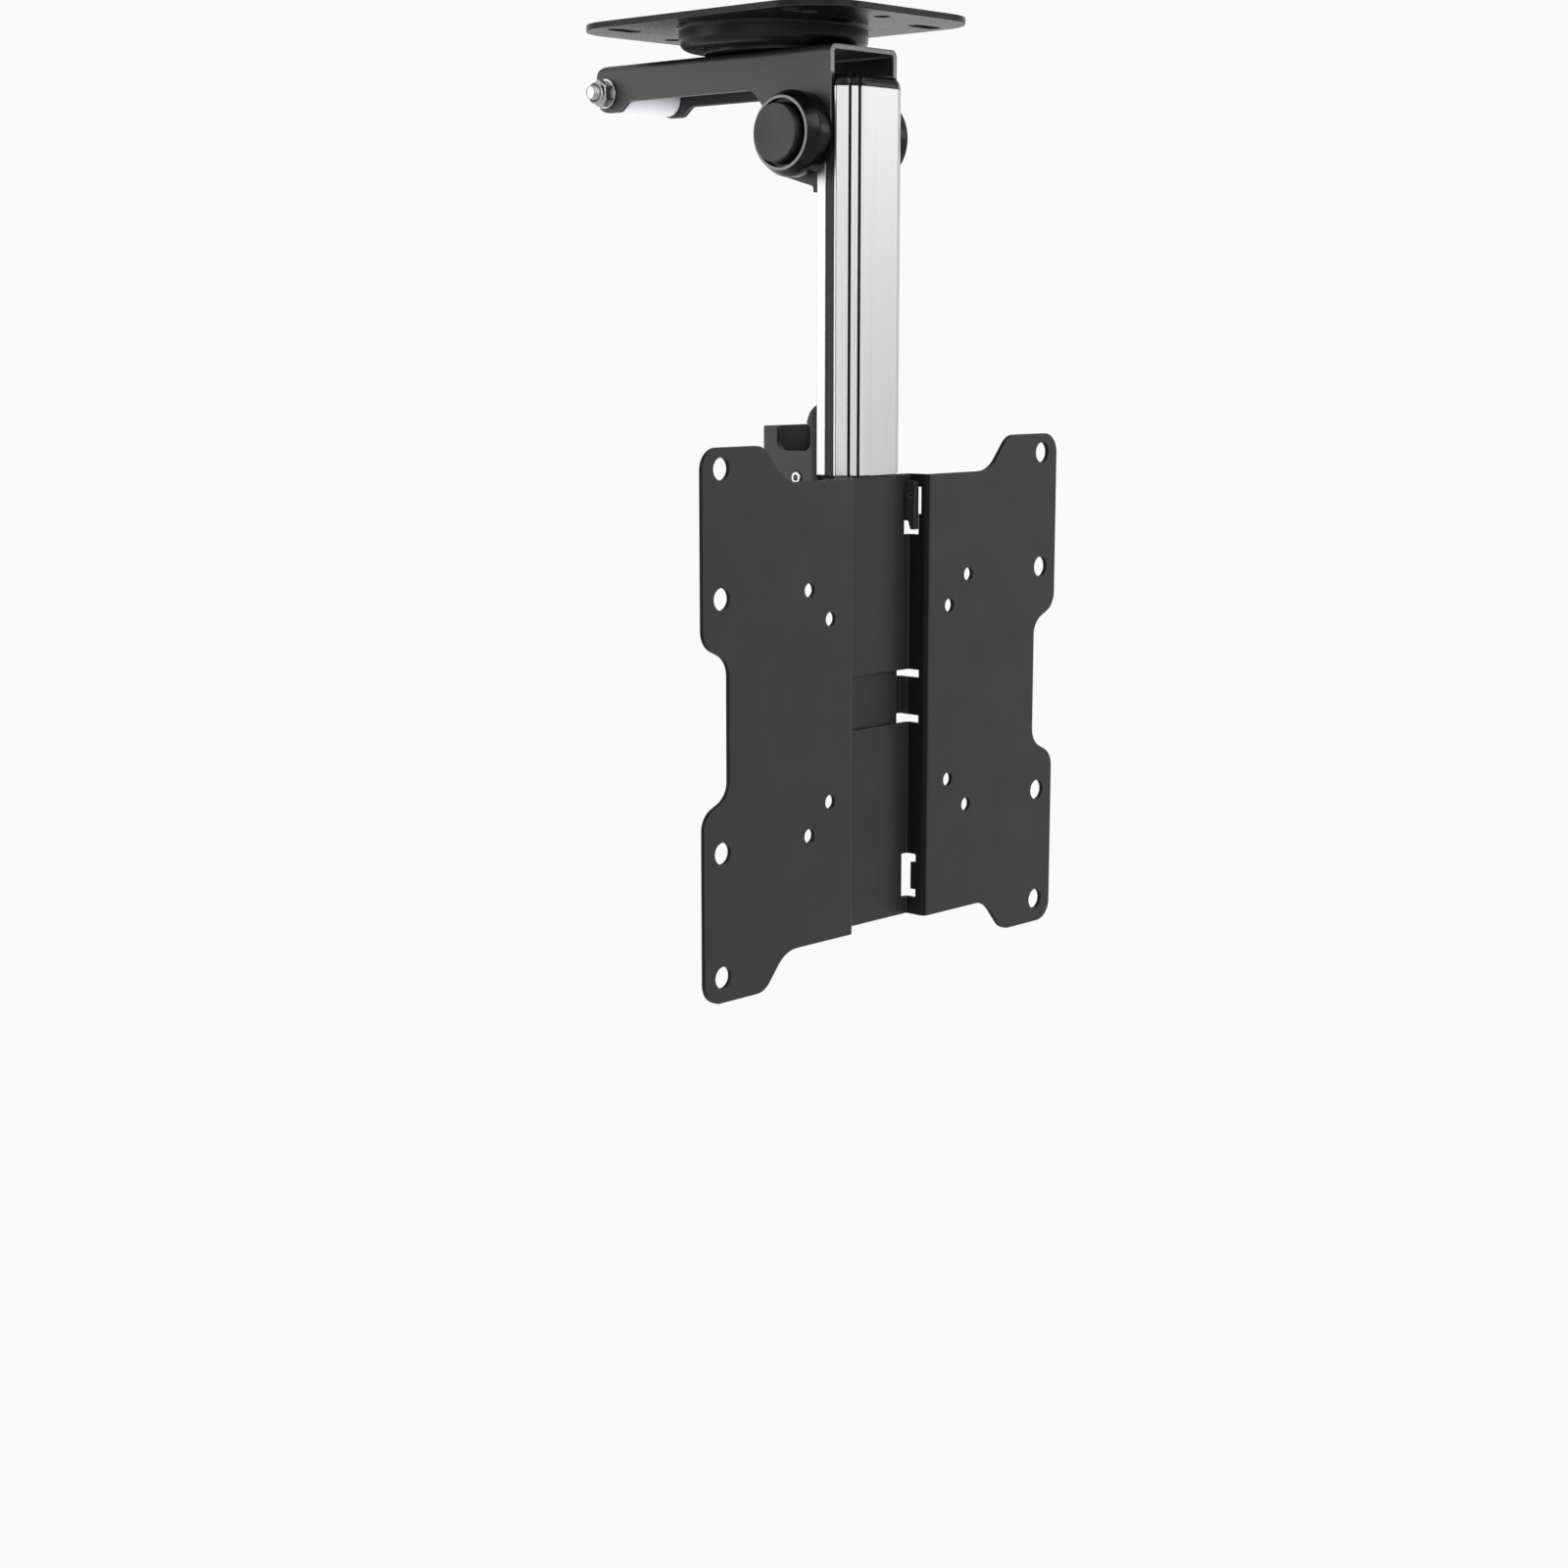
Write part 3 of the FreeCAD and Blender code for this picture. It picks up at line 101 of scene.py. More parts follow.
def add_node(tree, kind, inputs=None, **settings):
    """Add a node, set its properties, then set or link its inputs by name or by number."""
    node = tree.nodes.new(kind)
    for name, value in settings.items():
        setattr(node, name, value)
    for key, value in (inputs or {}).items():
        if isinstance(value, bpy.types.NodeSocket):
            tree.links.new(value, node.inputs[key])
        else:
            node.inputs[key].default_value = value
    return node


def math_node(tree, operation, *values):
    """Put one arithmetic step on values or sockets and give back its result."""
    return add_node(tree, "ShaderNodeMath", dict(enumerate(values)), operation=operation).outputs[0]


def vector_node(tree, operation, *values):
    """Put one step on vectors and give back its outputs, Vector and Value."""
    return add_node(tree, "ShaderNodeVectorMath", dict(enumerate(values)), operation=operation).outputs


def spread(tree, value, low, high, from_low=NOISE_LOW, from_high=NOISE_HIGH):
    """Run evenly from low to high while the value goes from one limit to the other, level outside."""
    limits = {"Value": value, "From Min": from_low, "From Max": from_high, "To Min": low, "To Max": high}
    return add_node(tree, "ShaderNodeMapRange", limits).outputs["Result"]


def own_place(tree):
    """A point's place in the piece's own coordinates, in metres."""
    return add_node(tree, "ShaderNodeTexCoord").outputs["Object"]


def own_parts(tree):
    """The X, Y and Z of that place."""
    return add_node(tree, "ShaderNodeSeparateXYZ", {0: own_place(tree)}).outputs


def new_group(name, inputs, outputs):
    """Make a node group. Inputs are (name, socket kind, default) rows, outputs (name, socket kind)."""
    tree = bpy.data.node_groups.new(name, "ShaderNodeTree")
    for label, kind, default in inputs:
        tree.interface.new_socket(name=label, in_out="INPUT", socket_type=kind).default_value = default
    for label, kind in outputs:
        tree.interface.new_socket(name=label, in_out="OUTPUT", socket_type=kind)
    return tree, tree.nodes.new("NodeGroupInput").outputs, tree.nodes.new("NodeGroupOutput").inputs


print("a noise is spread between", NOISE_LOW, "and", NOISE_HIGH)

# %% [markdown]
# ## Soft edges
# Every real edge has a narrow round that catches a line of light. A bevel modelled on each solid
# would add many faces. A Bevel node rounds the shading alone, and the angle between the round and
# the plain normal also gives a mask of the corners. Some finishes make them paler there, partly as a
# thinner coat and partly as a painted highlight.

# %% Soft edges
BEVEL_SAMPLES = 6
BEND_START, BEND_FULL = 0.995, 0.80


def soft_edge_group():
    """Rounded normal under a relief, and a mask from the dot product of round and plain normal."""
    tree, source, target = new_group(
        "soft_edge",
        [("Radius", FLOAT, 0.0004), ("Height", FLOAT, 0.5),
         ("Strength", FLOAT, 0.1), ("Distance", FLOAT, 0.0001)],
        [("Normal", VECTOR), ("Edge", FLOAT)],
    )
    bevel = add_node(tree, "ShaderNodeBevel", {"Radius": source["Radius"]}, samples=BEVEL_SAMPLES)
    rounded = bevel.outputs["Normal"]
    bump = {name: source[name] for name in ("Strength", "Distance", "Height")}
    relief = add_node(tree, "ShaderNodeBump", {**bump, "Normal": rounded})
    plain = add_node(tree, "ShaderNodeNewGeometry").outputs["Normal"]
    agree = vector_node(tree, "DOT_PRODUCT", rounded, plain)["Value"]
    tree.links.new(relief.outputs["Normal"], target["Normal"])
    tree.links.new(spread(tree, agree, 0.0, 1.0, BEND_START, BEND_FULL), target["Edge"])
    return tree


SOFT_EDGE = soft_edge_group()
print("corners count as bent past", round(math.degrees(math.acos(BEND_START)), 1), "degrees")

# %% [markdown]
# ## Grain and streaks
# Powder coat, moulded plastic and anodised metal all have a fine unevenness that only shows in
# their highlights. Grain gives a tiny relief in two sizes. Streaks are noise stretched along one
# direction, as rolling, drawing or extruding leaves it. Painted textures would need unfolded
# surfaces, so both are noise on the piece's own coordinates.


# %% Grain and streaks
def grain_group():
    """Two sizes of noise on the piece's own coordinates: a mixed height and a slow tone mask."""
    tree, source, target = new_group(
        "grain",
        [("Fine", FLOAT, 2500.0), ("Coarse", FLOAT, 60.0), ("Coarse Share", FLOAT, 0.3)],
        [("Height", FLOAT), ("Tone", FLOAT)],
    )
    place = own_place(tree)
    fine = add_node(tree, "ShaderNodeTexNoise", {"Vector": place, "Scale": source["Fine"], "Detail": 2.0})
    coarse = add_node(tree, "ShaderNodeTexNoise", {"Vector": place, "Scale": source["Coarse"], "Detail": 3.0})
    height, tone = fine.outputs["Fac"], coarse.outputs["Fac"]
    mixed = add_node(tree, "ShaderNodeMix", {"Factor": source["Coarse Share"], 2: height, 3: tone})
    tree.links.new(mixed.outputs[0], target["Height"])
    tree.links.new(tone, target["Tone"])
    return tree


def streak_group():
    """Noise squeezed by a scale per axis, so that its spots become lines along the axis of small scale."""
    tree, source, target = new_group("streaks", [("Stretch", VECTOR, (1.0, 1.0, 1.0))], [("Height", FLOAT)])
    squeezed = vector_node(tree, "MULTIPLY", own_place(tree), source["Stretch"])["Vector"]
    lines = add_node(tree, "ShaderNodeTexNoise", {"Vector": squeezed, "Scale": 1.0, "Detail": 4.0})
    tree.links.new(lines.outputs["Fac"], target["Height"])
    return tree


GRAIN = grain_group()
STREAKS = streak_group()
print("groups", [group.name for group in (SOFT_EDGE, GRAIN, STREAKS)])

# %% [markdown]
# ## The grooves of the extrusion
# Two narrow grooves run down each sloping shoulder of the column. Light hardly reaches their
# floors, so their shade is painted in as a dark colour. Their faces could be picked out one by one,
# but the column is the same all the way down, so a point's place in the XY plane is enough: the mask
# of painted shade is 1 where the point lies deeper than the shoulder's line.

# %% Groove mask
SHOULDER_RUN = 0.0093
SHOULDER_DEPTH = 0.0066
column_low, column_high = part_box("column_profile")
COLUMN_HALF = column_high[0]
COLUMN_FRONT = column_low[1]
COLUMN_REAR = column_high[1]
FLAT_HALF = COLUMN_HALF - SHOULDER_RUN
SHOULDER_Y = COLUMN_FRONT + SHOULDER_DEPTH
PAST_FLAT = FLAT_HALF + 0.0003
PAST_SHOULDER = SHOULDER_Y + 0.0004


def groove_shade_group():
    """Depth below the sloping shoulder, by the dot product with its inward direction, as a mask of painted
    shade.
    """
    tree, source, target = new_group(
        "grooves", [("Start", FLOAT, 0.00004), ("Full", FLOAT, 0.00016)], [("Mask", FLOAT)]
    )
    parts = own_parts(tree)
    across = math_node(tree, "ABSOLUTE", parts["X"])
    run = Vector((SHOULDER_RUN, SHOULDER_DEPTH)).normalized()
    side_part = math_node(tree, "MULTIPLY", math_node(tree, "SUBTRACT", across, FLAT_HALF), -run.y)
    front_part = math_node(tree, "MULTIPLY", math_node(tree, "SUBTRACT", parts["Y"], COLUMN_FRONT), run.x)
    depth = math_node(tree, "ADD", side_part, front_part)
    ramp = spread(tree, depth, 0.0, 1.0, source["Start"], source["Full"])
    beside = math_node(tree, "GREATER_THAN", across, PAST_FLAT)
    before = math_node(tree, "LESS_THAN", parts["Y"], PAST_SHOULDER)
    on_shoulder = math_node(tree, "MULTIPLY", ramp, beside)
    tree.links.new(math_node(tree, "MULTIPLY", on_shoulder, before), target["Mask"])
    return tree


GROOVE_SHADE = groove_shade_group()
print("groove mask between", round(FLAT_HALF, 4), "and", round(COLUMN_HALF, 4))

# %% [markdown]
# ## Where on the hinge a point lies
# The button's face has a fine matt texture and looks grey. Its side gets a darker colour as painted
# shade, and the housing's rim a paler one as a painted highlight. Separate materials would need
# separate faces. The distance from the hinge's axis and the distance out from the middle tell these
# places apart as well, so one group puts out both as values.

# %% Hinge places
PIVOT = tuple(next(joint["pos_m"] for joint in frame["joints"] if joint["name"] == "fold"))
arm_low, arm_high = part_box("arm_channel")
ARM_HALF = arm_high[0]
HOUSING_HEIGHT = 0.0127
RIM_X = ARM_HALF + HOUSING_HEIGHT
BUTTON_R = 0.0118
BUTTON_EDGE = 0.0007


def hinge_place_group():
    """Length of the offset from the hinge's axis in the YZ plane, and the distance out along X."""
    tree, _, target = new_group("hinge_place", [], [("Radius", FLOAT), ("Out", FLOAT)])
    offset = vector_node(tree, "SUBTRACT", own_place(tree), PIVOT)["Vector"]
    flat = vector_node(tree, "MULTIPLY", offset, (0.0, 1.0, 1.0))["Vector"]
    out = add_node(tree, "ShaderNodeSeparateXYZ", {0: offset}).outputs["X"]
    tree.links.new(vector_node(tree, "LENGTH", flat)["Value"], target["Radius"])
    tree.links.new(math_node(tree, "ABSOLUTE", out), target["Out"])
    return tree


HINGE_PLACE = hinge_place_group()
print("hinge place round", PIVOT)

# %% [markdown]
# ## Painted light and shade that follow a piece's form
# Some tones change at a set place on a piece, and each of them is painted light or shade. The
# groove floors get painted shade, the button's side painted shade, and the housing's rim a painted
# highlight. The arm's cut front edge gets a painted highlight above the column's cap, and none below
# it, where it is in shade. On the adapter plate, the cut edges and the recess's walls get painted
# shade. A second material could only change at a face's border, so each is a mask made from the
# point's place, with limits measured from the solids' own boxes or from the same named sizes as the
# surfaces.

# %% Masks by place
SOFTNESS = 0.0003
SKIN = 0.0001
ARM_FRONT = arm_low[1]
CAP_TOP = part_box("column_top_cap")[1][2]
PLATE_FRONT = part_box("vesa_plate")[0][1]
PLATE_SHEET = 0.0020
RECESS_DEPTH = 0.0100
CHANNEL_HALF = 0.0225
WALL_REACH = CHANNEL_HALF + 0.0014
WING_START = CHANNEL_HALF + 0.0027


def place_group(tree, group, inputs):
    """Put a shared group into a material's tree, with its own values."""
    return add_node(tree, "ShaderNodeGroup", inputs, node_tree=group).outputs


def groove_shade_mask(tree):
    """Mask of the column's groove floors, where shade is painted."""
    return place_group(tree, GROOVE_SHADE, {})["Mask"]


def button_side_shade_mask(tree):
    """Mask of the button's side, outside its face, where shade is painted."""
    radius = place_group(tree, HINGE_PLACE, {})["Radius"]
    return spread(tree, radius, 0.0, 1.0, BUTTON_R - BUTTON_EDGE, BUTTON_R - SOFTNESS)


def rim_highlight_mask(tree):
    """Mask of the housing's outermost rim, where a highlight is painted."""
    return spread(tree, place_group(tree, HINGE_PLACE, {})["Out"], 0.0, 1.0, RIM_X - SOFTNESS, RIM_X)


def cut_edge_highlight_mask(tree):
    """Mask of the arm's front edge for a painted highlight: a run along Y times a run along Z from the cap's
    top.
    """
    parts = own_parts(tree)
    front = spread(tree, parts["Y"], 1.0, 0.0, ARM_FRONT + SKIN, ARM_FRONT + SKIN + SOFTNESS)
    above = spread(tree, parts["Z"], 0.0, 1.0, CAP_TOP - 2 * SOFTNESS, CAP_TOP + 2 * SOFTNESS)
    return math_node(tree, "MULTIPLY", front, above)


def plate_edge_shade_mask(tree):
    """Mask of the recess's walls and of the wings' cut edges, both behind the front face, for painted shade.
    """
    parts = own_parts(tree)
    across = math_node(tree, "ABSOLUTE", parts["X"])
    inside = math_node(tree, "LESS_THAN", across, WALL_REACH)
    before_web = math_node(tree, "LESS_THAN", parts["Y"], PLATE_FRONT + RECESS_DEPTH - 2 * SKIN)
    outside = math_node(tree, "GREATER_THAN", across, WING_START)
    before_back = math_node(tree, "LESS_THAN", parts["Y"], PLATE_FRONT + PLATE_SHEET - SKIN)
    wall = math_node(tree, "MULTIPLY", inside, before_web)
    cut = math_node(tree, "MULTIPLY", outside, before_back)
    behind = spread(tree, parts["Y"], 0.0, 1.0, PLATE_FRONT + SKIN, PLATE_FRONT + 2 * SKIN)
    return math_node(tree, "MULTIPLY", math_node(tree, "ADD", wall, cut), behind)


print("arm edge, cap top and plate at", [round(v, 4) for v in (ARM_FRONT, CAP_TOP, PLATE_FRONT)])

# %% [markdown]
# ## One builder for all finishes
# Every finish here is the same graph with other values: two near tones mixed by a noise, a
# roughness that follows the grain or the streaks, soft edges, and for some a paler corner tone, partly
# wear and partly painted highlight, and a patch by place of painted light or shade. So a finish is a
# few numbers, and its look can be tuned without touching the graph.


# %% Finish builder
def blend_colors(tree, mask, first, second):
    """Colour that runs from first to second with a mask. Each is a colour or a socket."""
    node = add_node(tree, "ShaderNodeMix", {"Factor": mask}, data_type="RGBA")
    for number, color in ((6, first), (7, second)):
        if isinstance(color, bpy.types.NodeSocket):
            tree.links.new(color, node.inputs[number])
        else:
            node.inputs[number].default_value = (*color, 1.0)
    return node.outputs[2]


def finish(name, dark, light, rough, metal=0.0, grain=(2500.0, 60.0, 0.3), relief=(0.1, 0.0001), edge=0.0004,
           worn_and_highlight=None, stretch=None, specular=0.5, patch=None, patch_specular=None):
    """One finish. Rough is (smooth, rough) and grain is (fine scale, coarse scale, coarse share).

    Relief is (strength, height), edge the soft edge's radius, stretch the streaks' scale per axis,
    and patch is (mask function, colour), with a specular level of its own where one is given.
    """
    material = bpy.data.materials.new(name)
    material.use_nodes = True
    tree = material.node_tree
    shader = tree.nodes["Principled BSDF"]
    grained = place_group(tree, GRAIN, {"Fine": grain[0], "Coarse": grain[1], "Coarse Share": grain[2]})
    height, tone = grained["Height"], grained["Tone"]
    if stretch:
        height = tone = place_group(tree, STREAKS, {"Stretch": stretch})["Height"]
    edged = place_group(
        tree, SOFT_EDGE, {"Radius": edge, "Height": height, "Strength": relief[0], "Distance": relief[1]}
    )
    color = blend_colors(tree, spread(tree, tone, 0.0, 1.0), dark, light)
    # The pale corner tone is partly wear and partly a painted highlight.
    if worn_and_highlight:
        color = blend_colors(tree, edged["Edge"], color, worn_and_highlight)
    shader.inputs["Specular IOR Level"].default_value = specular
    if patch:
        mask = patch[0](tree)
        color = blend_colors(tree, mask, color, patch[1])
        if patch_specular is not None:
            level = spread(tree, mask, specular, patch_specular, 0.0, 1.0)
            tree.links.new(level, shader.inputs["Specular IOR Level"])
    tree.links.new(color, shader.inputs["Base Color"])
    tree.links.new(spread(tree, height, rough[0], rough[1]), shader.inputs["Roughness"])
    tree.links.new(edged["Normal"], shader.inputs["Normal"])
    shader.inputs["Metallic"].default_value = metal
    return material


# %% [markdown]
# ## The finishes
# Every solid has a slot that says what it is made of, so there is one finish for each slot. The
# sheet steel is powder coated in satin black: dark grey where it faces the light, with a wide soft
# highlight, and paler on its corners, partly as a thinner coat and partly as a painted highlight. The
# column is extruded aluminium with a satin anodised skin, so its streaks run straight up and down,
# and its groove floors have painted shade. Bolts and nuts are bright zinc. The cap, plug, housing,
# cover and button are moulded black plastic, the strips are extruded and duller, and the sleeve is
# natural nylon.

# %% Finishes of the slots
POWDER_COAT = {"grain": (1400.0, 45.0, 0.25), "relief": (0.16, 0.00012)}
FINISHES = {
    "black_steel": finish(
        "powder_coat_satin", (0.013, 0.013, 0.0135), (0.018, 0.018, 0.0185), (0.36, 0.46),
        edge=0.0006, worn_and_highlight=(0.055, 0.055, 0.056), specular=0.30, **POWDER_COAT,
    ),
    "zinc": finish(
        "bright_zinc", (0.30, 0.305, 0.31), (0.44, 0.445, 0.45), (0.14, 0.26), metal=1.0,
        grain=(900.0, 120.0, 0.5), relief=(0.08, 0.00005), edge=0.0002,
    ),
    "black_plastic": finish(
        "moulded_black", (0.0022, 0.0022, 0.0024), (0.0036, 0.0036, 0.0038), (0.17, 0.24),
        grain=(3200.0, 80.0, 0.2), relief=(0.08, 0.00008), edge=0.0005, worn_and_highlight=(0.014, 0.014, 0.015),
        # The patch paints a highlight on the housing's rim.
        specular=0.14, patch=(rim_highlight_mask, (0.17, 0.17, 0.174)),
    ),
    "button_plastic": finish(
        "button_black", (0.019, 0.019, 0.0195), (0.026, 0.026, 0.0265), (0.34, 0.44),
        grain=(3600.0, 90.0, 0.2), relief=(0.16, 0.0001), edge=0.0003, specular=0.22,
        # The patch paints shade on the button's side.
        patch=(button_side_shade_mask, (0.003, 0.003, 0.003)),
    ),
    "strip_plastic": finish(
        "extruded_black", (0.006, 0.006, 0.006), (0.009, 0.009, 0.0095), (0.40, 0.52),
        stretch=(900.0, 900.0, 6.0), relief=(0.12, 0.00008), edge=0.0003, specular=0.25,
    ),
    "nylon": finish(
        "natural_nylon", (0.86, 0.85, 0.93), (0.90, 0.89, 0.96), (0.38, 0.50),
        grain=(1500.0, 40.0, 0.4), relief=(0.08, 0.0001), edge=0.0004,
    ),
    "spring_steel": finish(
        "drawn_wire", (0.30, 0.305, 0.315), (0.40, 0.405, 0.415), (0.22, 0.34), metal=1.0,
        grain=(1200.0, 200.0, 0.5), relief=(0.08, 0.00005), edge=0.0002,
    ),
    "satin_aluminium": finish(
        "satin_anodised", (0.52, 0.52, 0.525), (0.57, 0.57, 0.575), (0.36, 0.44), metal=1.0,
        stretch=(1100.0, 1100.0, 5.0), relief=(0.07, 0.00006), edge=0.0004,
        # The patch paints shade into the groove floors.
        patch=(groove_shade_mask, (0.012, 0.012, 0.012)),
    ),
}
print("finishes of slots", len(FINISHES))

# %% [markdown]
# ## Sheets with a look of their own
# Three sheets share the powder coat's slot but not its look. The ceiling plate's coat is glossier,
# and darker and less mirror-like as painted shade, standing for the shade round its pan. The arm's
# corners are paler, partly as wear and partly as a painted highlight, and its cut front edge has the
# most painted highlight. The adapter plate's cut edges and recess walls are dark and dull as painted
# shade. The slots say what a piece is made of, which is the same for all of them, so these finishes
# go by the piece's name. The grey nylon is for the ring inside a lock nut.

# %% Finishes of single pieces
# The ceiling plate's darker colour and low specular level are painted shade; its lower roughness is its own
# gloss.
PLATE_COAT_PAINTED_SHADE = finish(
    "powder_coat_gloss", (0.0035, 0.0035, 0.0037), (0.006, 0.006, 0.0062), (0.24, 0.34),
    grain=(1100.0, 40.0, 0.25), relief=(0.16, 0.00012), edge=0.0006, worn_and_highlight=(0.04, 0.04, 0.041),
    specular=0.12,
)
FOLDED_SHEET = finish(
    "powder_coat_arm", (0.010, 0.010, 0.0105), (0.015, 0.015, 0.0155), (0.36, 0.46),
    # Its patch paints a highlight on the cut front edge above the cap.
    edge=0.0010, worn_and_highlight=(0.09, 0.09, 0.091), specular=0.40, patch=(cut_edge_highlight_mask, (0.21, 0.21, 0.212)),
    **POWDER_COAT,
)
ADAPTER_COAT_EDGE_SHADE = finish(
    "powder_coat_plate", (0.013, 0.013, 0.0135), (0.018, 0.018, 0.0185), (0.36, 0.46),
    # The patch paints shade on the cut edges and the recess's walls, darker and less mirror-like.
    edge=0.0006, specular=0.31, patch=(plate_edge_shade_mask, (0.0055, 0.0055, 0.0055)), patch_specular=0.05,
    **POWDER_COAT,
)
THREAD_INSERT = finish(
    "grey_nylon", (0.10, 0.11, 0.13), (0.13, 0.14, 0.16), (0.40, 0.50),
    grain=(2500.0, 90.0, 0.3), edge=0.0001,
)
OWN_FINISH = {"ceiling_plate": PLATE_COAT_PAINTED_SHADE, "arm_channel": FOLDED_SHEET, "vesa_plate": ADAPTER_COAT_EDGE_SHADE}
print("finishes of single pieces", [OWN_FINISH[name].name for name in OWN_FINISH])

# %% [markdown]
# ## Dressing the solids
# The solids come with a plain material in each slot, named after the slot. Finishes could be given
# piece by piece, but the name already says which one belongs there, so one loop swaps them all.
# Blender may add a number after a full stop, which is left off before the names are compared.

# %% Give every solid its finish
dressed = {slot: 0 for slot in FINISHES}
for name, node in nodes.items():
    for entry in node.material_slots:
        slot_name = entry.material.name.split(".")[0] if entry.material else ""
        if slot_name in FINISHES:
            entry.material = OWN_FINISH.get(name, FINISHES[slot_name])
            dressed[slot_name] += 1
print("solids dressed", dressed)

# %% [markdown]
# ## Surfaces from grids
# A surface is a grid of points, rows by columns. The columns close on themselves when they run
# round an axis. The rows close when the profile is a ring, such as a cover with a bore. Where a
# row shrinks to one point on the axis, its points become one pole, so the shape has no hole.
# Cylinders with modifiers could be joined up instead, but a grid puts every point where its
# formula says.

# %% Grid to object
TINY = 1e-9
CRISP_ANGLE = math.radians(32)


def grid_faces(points, ring_rows):
    """Quads between neighbouring points of a (rows, columns, 3) grid, poles merged, faces outward."""
    rows, columns, _ = points.shape
    flat = points.reshape(-1, 3)
    index = np.arange(rows * columns).reshape(rows, columns)
    pole = np.ptp(points, axis=1).max(axis=1) < TINY
    index[pole] = index[pole][:, :1]
    here, beyond = (index, np.roll(index, -1, axis=0)) if ring_rows else (index[:-1], index[1:])
    quads = np.stack([here, np.roll(here, -1, 1), np.roll(beyond, -1, 1), beyond], axis=-1).reshape(-1, 4)
    first, last = quads[:, 0] == quads[:, 1], quads[:, 2] == quads[:, 3]
    whole = quads[~first & ~last]
    fans = np.concatenate([quads[first & ~last][:, [0, 2, 3]], quads[last & ~first][:, [0, 1, 2]]])
    triangles = np.concatenate([whole[:, [0, 1, 2]], whole[:, [0, 2, 3]], fans])
    a, b, c = (flat[triangles[:, k]] for k in range(3))
    if np.einsum("ij,ij->i", a, np.cross(b, c)).sum() < 0:
        whole, fans = whole[:, ::-1], fans[:, ::-1]
    used, inverse = np.unique(np.concatenate([whole.ravel(), fans.ravel()]), return_inverse=True)
    return flat[used], inverse[:whole.size].reshape(-1, 4), inverse[whole.size:].reshape(-1, 3)


def grid_mesh(name, grids, ring_rows):
    """One smooth mesh from one or more grids, with edges sharper than the crisp angle kept crisp."""
    spots, faces, count = [], [], 0
    for points in grids:
        flat, quads, fans = grid_faces(points, ring_rows)
        spots.append(flat)
        faces += (quads + count).tolist() + (fans + count).tolist()
        count += len(flat)
    mesh = bpy.data.meshes.new(name)
    mesh.from_pydata(np.concatenate(spots).tolist(), [], faces)
    mesh.polygons.foreach_set("use_smooth", np.ones(len(faces), dtype=bool))
    mesh.set_sharp_from_angle(angle=CRISP_ANGLE)
    return mesh


def add_piece(name, grids, body, slot, replaces=(), ring_rows=False, material=None):
    """Make the grids an object that rides on a body, in its finish, in place of the named solids."""
    piece = bpy.data.objects.new(name, grid_mesh(name, grids, ring_rows))
    scene.collection.objects.link(piece)
    piece.data.materials.append(material or FINISHES[slot])
    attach(piece, body)
    if replaces:
        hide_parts(*replaces)
    print(name, "faces", len(piece.data.polygons))
    return piece


# %% [markdown]
# ## Turned and moulded rounds
# The hinge's housing, cover and button, the sleeve and the bolts are all shapes turned about a
# line. A corner list (distance along the axis, radius, rounding) becomes a smooth profile, and the
# profile is swept round the axis. A real mould or lathe leaves no perfectly sharp corner. A Screw
# modifier can turn a profile too, but not one whose radius changes with the angle, as on a
# hexagon or a thread.

# %% Profiles
COLUMNS = 144
CROSS_DIRECTIONS = {"X": ((0, 1, 0), (0, 0, 1)), "Z": ((1, 0, 0), (0, 1, 0))}
AXIS_LINE = {"X": (1, 0, 0), "Z": (0, 0, 1)}


def rounded_profile(corners, closed, steps=7):
    """Each corner with a rounding becomes an arc, tangent to both its sides, sampled in even angles."""
    spots = np.array([corner[:2] for corner in corners], dtype=float)
    rows = []
    for k, (_, _, radius) in enumerate(corners):
        here = spots[k]
        if radius <= 0 or (not closed and k in (0, len(corners) - 1)):
            rows.append(here[None])
            continue
        back, on = spots[k - 1] - here, spots[(k + 1) % len(spots)] - here
        back, on = back / np.linalg.norm(back), on / np.linalg.norm(on)
        half = math.acos(float(np.clip(back @ on, -1, 1))) / 2
        middle = here + (back + on) / np.linalg.norm(back + on) * radius / math.sin(half)
        start, end = here + back * radius / math.tan(half), here + on * radius / math.tan(half)
        share = np.linspace(0, 1, steps)[:, None]
        chord = start * (1 - share) + end * share - middle
        rows.append(middle + chord / np.linalg.norm(chord, axis=1, keepdims=True) * radius)
    return np.concatenate(rows)


def turned(profile, axis, centre, changes=()):
    """Point = centre + along * axis + radius * (cos, sin) of the turn. Changes may bend the radius."""
    turn = np.linspace(0, 2 * math.pi, COLUMNS, endpoint=False)
    radius = profile[:, 1:2] * np.ones(COLUMNS)
    for change in changes:
        radius = change(profile, turn, radius)
    along = profile[:, :1] * np.ones(COLUMNS)
    first, second = (np.array(direction, dtype=float) for direction in CROSS_DIRECTIONS[axis])
    points = along[..., None] * np.array(AXIS_LINE[axis], dtype=float)
    points = points + (radius * np.cos(turn))[..., None] * first
    return points + (radius * np.sin(turn))[..., None] * second + np.array(centre)


def left_side(corners):
    """Mirror a corner list to the -X side."""
    return [(-along, radius, rounding) for along, radius, rounding in corners]


square = rounded_profile([(0, 1, 0.1), (1, 1, 0.1), (1, 2, 0.1), (0, 2, 0.1)], True)
print("a rounded square has", len(square), "points and becomes", len(square) * COLUMNS, "when turned")

# %% [markdown]
# ## The hinge's housing
# On the left side sits a round housing whose thin rim stands round a push button. A bevelled
# cylinder would have one rounding everywhere, while this moulding has a wide one on its side and
# narrow ones on its rim. So its section is a corner list in which each corner has its own. The
# list runs round the section, which is a closed ring.

